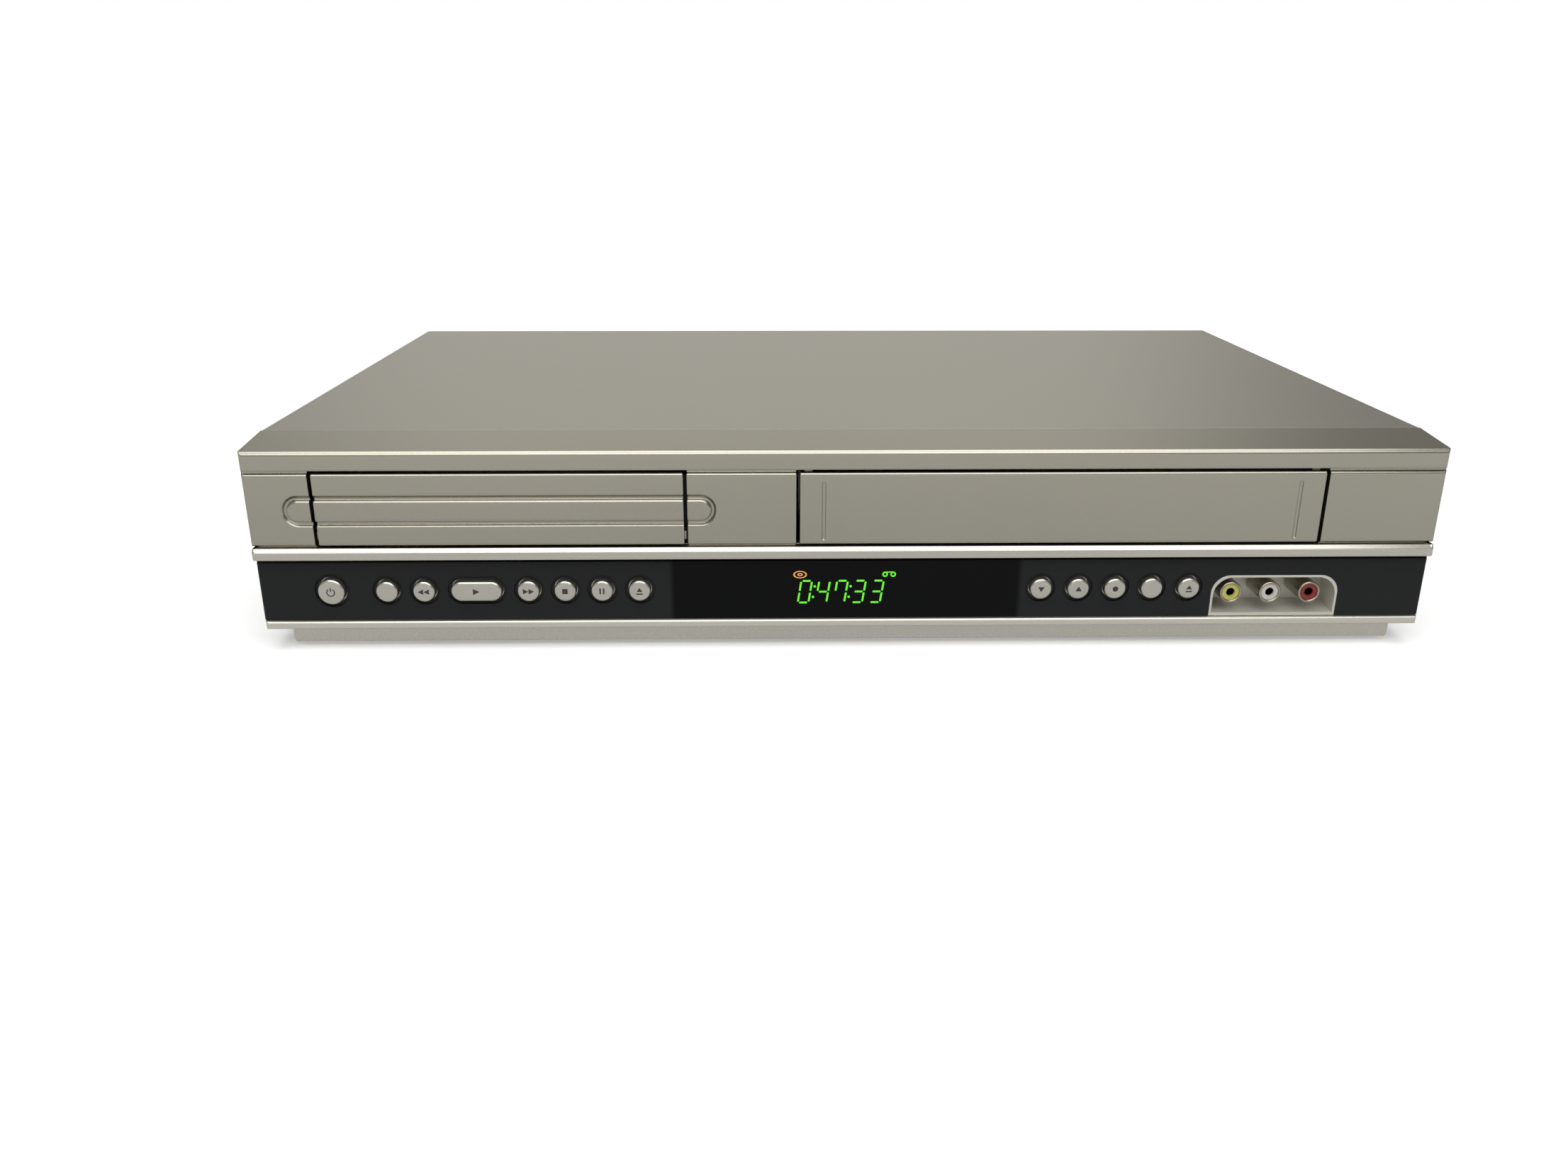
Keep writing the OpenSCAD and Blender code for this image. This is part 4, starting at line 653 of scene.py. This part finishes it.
def segment(letter):
    """Outline of one segment of an upright digit, with its lower left corner at the origin."""
    half = STROKE / 2
    if letter in "adg":
        z = {"a": DIGIT_H, "d": 0, "g": DIGIT_H / 2}[letter]
        end = DIGIT_W / 2 - LEVEL_GAP
        return shifted([(-end, 0), (-end + TIP, -half), (end - TIP, -half), (end, 0),
                        (end - TIP, half), (-end + TIP, half)], DIGIT_W / 2, z)
    x = 0 if letter in "ef" else DIGIT_W
    z = DIGIT_H * (0.75 if letter in "bf" else 0.25)
    end = DIGIT_H / 4 - UPRIGHT_GAP
    return shifted([(-half, -end + TIP), (0, -end), (half, -end + TIP), (half, end - TIP),
                    (0, end), (-half, end - TIP)], x, z)


def slanted(outline):
    """The outline leaned to the right."""
    return [(px + pz * SLANT, pz) for px, pz in outline]


DISPLAY_DIGITS = "04733"
DISPLAY_X, DISPLAY_Z, DIGIT_PITCH = -18.0, 17.9, 6.7
DOT, DOT_HEIGHTS, DOT_GAP = 0.48, (2.2, 6.4), 1.35  # the colons: radius, heights, gap to the digit
COLON_PLACES = (1, 3)  # the digits that a colon comes before
SIGN_Z, DISC_SIGN_X, TAPE_SIGN_X = 29.0, -17.2, 16.0
display = []
for place, digit in enumerate(DISPLAY_DIGITS):
    display += [shifted(slanted(segment(s)), DISPLAY_X + place * DIGIT_PITCH, DISPLAY_Z)
                for s in SEGMENTS[digit]]
for place in COLON_PLACES:
    for z in DOT_HEIGHTS:
        display.append(shifted(arc(DOT, 0, 340, 20),
                               DISPLAY_X + place * DIGIT_PITCH - DOT_GAP + z * SLANT,
                               DISPLAY_Z + z))
printed("display_time", display, 0, 0, panel_front, "case", green_segment)
reels = [shifted(band(1.05, 0.5, a, a + 180), x, 0) for x in (-1.5, 1.5) for a in (0, 180)]
printed("display_tape_sign", reels + [bar(0, 0.85, 3.0, 0.42)], TAPE_SIGN_X, SIGN_Z, panel_front,
        "case", green_segment)
oval = [[(1.75 * px, pz) for px, pz in band(1.45, 1.15, a, a + 180)] for a in (0, 180)]
hub = [[(1.6 * px, pz) for px, pz in band(0.62, 0.3, a, a + 180)] for a in (0, 180)]
printed("display_disc_sign", oval + hub, DISC_SIGN_X, SIGN_Z, panel_front, "case", orange_segment)


# ---- screws ----

PAN_HEAD = [(2.9, 0), (3.0, 0.25), (3.0, 0.9), (2.75, 1.45), (2.2, 1.85), (1.3, 2.05), (0.3, 2.1)]
RECESS_ARM, RECESS_HALF = 1.75, 0.36  # reach and half the width of the cross recess
RECESS_FLOOR, ABOVE_HEAD = 0.75, 3  # heights between which the recess is cut


def screw_head():
    """Mesh of a 6 mm pan head with its cross recess, standing on z = 0."""
    head = solid("screw_head", lambda shape: lathe(shape, PAN_HEAD))
    arm, half = RECESS_ARM, RECESS_HALF
    cross = [(half, half), (half, arm), (-half, arm), (-half, half), (-arm, half), (-arm, -half),
             (-half, -half), (-half, -arm), (half, -arm), (half, -half), (arm, -half), (arm, half)]
    cutter = solid("screw_cross", lambda shape: prism(shape, cross, RECESS_FLOOR, ABOVE_HEAD))
    cut = head.modifiers.new("recess", "BOOLEAN")
    cut.object = cutter
    cut.operation = "DIFFERENCE"
    cut.solver = "EXACT"
    mesh = bpy.data.meshes.new_from_object(
        head.evaluated_get(bpy.context.evaluated_depsgraph_get()))
    for spare in (head, cutter):
        bpy.data.objects.remove(spare)
    mesh.materials.clear()
    mesh.materials.append(zinc_plate)
    return mesh


FACING = {"back": (0, 1, 0), "left": (-1, 0, 0), "right": (1, 0, 0)}
SIDE_SCREWS_Y, SIDE_SCREWS_Z = (-75.9, 98.1), 10.5
TOP_SCREWS_X, TOP_SCREWS_Z = (-206, -72, 72, 206), 71.0  # the cover to the rear panel
SOCKET_SCREWS = ((-57, 40.5), (37, 40.5), (55, 39), (121, 39), (158, 40.5), (196, 40.5), (-150, 24))
SCREW_TURN = 37  # degrees from one screw's recess to the next one's
SCREWS = [("left", -cover_high.x - side_shift(y), y, SIDE_SCREWS_Z) for y in SIDE_SCREWS_Y]
SCREWS += [("right", cover_high.x + side_shift(y), y, SIDE_SCREWS_Z) for y in SIDE_SCREWS_Y]
SCREWS += [("back", x, cover_high.y, TOP_SCREWS_Z) for x in TOP_SCREWS_X]
SCREWS += [("back", x, cover_high.y, z) for x, z in SOCKET_SCREWS]
HEAD = screw_head()
for i, (side, x, y, z) in enumerate(SCREWS):
    head = placed(f"screw_{i + 1}", HEAD.copy())
    turn = Vector(FACING[side]).to_track_quat("Z", "Y").to_matrix().to_4x4()
    head.data.transform(Matrix.Translation(Vector((x, y, z)) * MM) @ turn
                        @ Matrix.Rotation(math.radians(SCREW_TURN * i), 4, "Z"))
    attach(head, "case")


# ---- contacts in the front sockets ----

CUP = [(1.6, 0), (1.6, 8), (1.5, 8), (1.5, 0.5)]  # radius and height of its skin, open on top
CUP_FOOT = 8.9  # how far behind the socket's front the cup's closed end lies
for name in ("front_jack_yellow", "front_jack_white", "front_jack_red"):
    low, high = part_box(name)
    middle = (low + high) / 2
    cup = solid(name.replace("front_jack", "contact"), lambda shape: lathe(shape, CUP))
    cup.data.transform(
        Matrix.Translation(Vector((middle.x, low.y + CUP_FOOT * MM, middle.z)))
        @ Matrix.Rotation(math.pi / 2, 4, "X"))
    # The cups take the near-black colour: painted shade deep in the holes.
    cup.data.materials.append(contact_painted_shade)
    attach(cup, "case")


# ---- floor, light and camera ----

def seen_directly(tree, in_gloss):
    """1 for rays that show a thing itself or in glass, in_gloss for a gloss, 0 for its light."""
    path = add(tree, "ShaderNodeLightPath")
    mirrored = add(tree, "ShaderNodeMath", {
        0: path.outputs["Is Glossy Ray"], 1: in_gloss}, operation="MULTIPLY")
    either = add(tree, "ShaderNodeMath", {
        0: path.outputs["Is Camera Ray"], 1: mirrored.outputs[0]}, operation="MAXIMUM")
    return add(tree, "ShaderNodeMath", {
        0: either.outputs[0], 1: path.outputs["Is Transmission Ray"]},
        operation="MAXIMUM").outputs[0]


FLOOR_SIZE = 60  # metres


def floor():
    """White paper that fades into the white behind it and keeps the player's shadow."""
    bpy.ops.mesh.primitive_plane_add(size=FLOOR_SIZE, location=(0, 0, 0))
    ground = bpy.context.object
    ground.name = "floor"
    made, tree, shader, place = start("white_paper")
    fibre = add(tree, "ShaderNodeTexNoise", {"Vector": place, "Scale": 1 / (3 * MM)})
    tone = add(tree, "ShaderNodeMapRange", {
        "Value": seen_directly(tree, 0.0), "To Min": 0.5, "To Max": 0.88})
    flecked = add(tree, "ShaderNodeMapRange", {
        "Value": fibre.outputs["Fac"], "To Min": 0.98, "To Max": 1.0})
    shade = add(tree, "ShaderNodeMath", {
        0: tone.outputs[0], 1: flecked.outputs[0]}, operation="MULTIPLY")
    # the lamps' light falls off with the distance, and the paper's own white takes over
    away = add(tree, "ShaderNodeVectorMath", {0: place}, operation="LENGTH")
    fade = add(tree, "ShaderNodeMapRange", {
        "Value": away.outputs["Value"], "From Min": 0.2, "From Max": 1.3,
        "To Min": 0.3, "To Max": 1.0})
    lift = add(tree, "ShaderNodeMath", {
        0: seen_directly(tree, 0.8), 1: fade.outputs[0]}, operation="MULTIPLY")
    colour = add(tree, "ShaderNodeCombineColor", {
        "Red": shade.outputs[0], "Green": shade.outputs[0], "Blue": shade.outputs[0]})
    fill(tree, shader, {
        "Base Color": colour.outputs[0], "Roughness": 0.9, "Emission Color": linear("ffffff"),
        "Emission Strength": lift.outputs[0], "Specular IOR Level": 0.0})
    ground.data.materials.append(made)


# How light the room is in a gloss: places from its left side to its right, with their shades.
ROOM = ((0.25, "c8c8c8"), (0.39, "ffffff"), (0.61, "ffffff"), (0.74, "a4a4a4"))


def surround():
    """World that shows as white, and lights the player less than it shows.

    In a gloss the room is darker towards its sides, which shades the long lacquered faces.
    """
    world = bpy.data.worlds.new("studio")
    bpy.context.scene.world = world
    world.use_nodes = True
    tree = world.node_tree
    tree.nodes.clear()
    level = add(tree, "ShaderNodeMapRange", {
        "Value": seen_directly(tree, 0.75), "To Min": 0.16, "To Max": 1.0})
    direction = add(tree, "ShaderNodeTexCoord").outputs["Generated"]
    axes = add(tree, "ShaderNodeSeparateXYZ", {"Vector": direction})
    across = add(tree, "ShaderNodeMapRange", {
        "Value": axes.outputs["X"], "From Min": -1.0, "From Max": 1.0})
    sides = add(tree, "ShaderNodeValToRGB", {"Fac": across.outputs["Result"]})
    ramp = sides.color_ramp
    ramp.interpolation = "EASE"
    while len(ramp.elements) < len(ROOM):
        ramp.elements.new(0.5)
    for stop, (where, shade) in zip(ramp.elements, ROOM):
        stop.position = where
        stop.color = linear(shade)
    in_gloss = add(tree, "ShaderNodeLightPath").outputs["Is Glossy Ray"]
    shade = add(tree, "ShaderNodeMix", {
        "Factor": in_gloss, "A": linear("ffffff"), "B": sides.outputs["Color"]}, data_type="RGBA")
    sky = add(tree, "ShaderNodeBackground", {
        "Color": shade.outputs[2], "Strength": level.outputs["Result"]})
    add(tree, "ShaderNodeOutputWorld", {"Surface": sky.outputs[0]})


def softbox(name, place, target, width, height, power):
    """White area lamp at place that faces target. Sizes in metres, power in watts."""
    light = bpy.data.lights.new(name, "AREA")
    light.shape = "RECTANGLE"
    light.size, light.size_y = width, height
    light.energy = power
    lamp = placed(name, light)
    lamp.location = place
    lamp.rotation_euler = (Vector(target) - Vector(place)).to_track_quat("-Z", "Y").to_euler()


floor()
surround()
# Two wide softboxes, overhead and in front, draw the white line along every rounded edge.
softbox("overhead", (0.0, -0.25, 1.15), (0, -0.13, 0), width=1.5, height=0.95, power=10.5)
softbox("front_above", (0.0, -0.95, 0.8), (0, -0.13, 0.04), width=1.5, height=0.52, power=7)

CAMERA_PLACE = (-30.9, -568.1, 185.0)
CAMERA_TURN, CAMERA_DOWN, CAMERA_ROLL = -0.0178, 0.3556, 0.0016  # radians
lens = bpy.data.cameras.new("camera")
lens.sensor_width = 36
lens.lens = 28.48
camera = placed("camera", lens)
camera.matrix_world = (
    Matrix.Translation(Vector(CAMERA_PLACE) * MM)
    @ Matrix.Rotation(CAMERA_TURN, 4, "Z")
    @ Matrix.Rotation(math.pi / 2 - CAMERA_DOWN, 4, "X")
    @ Matrix.Rotation(CAMERA_ROLL, 4, "Z"))
bpy.context.scene.camera = camera
bpy.context.scene.view_settings.view_transform = "Standard"

bpy.context.view_layer.update()
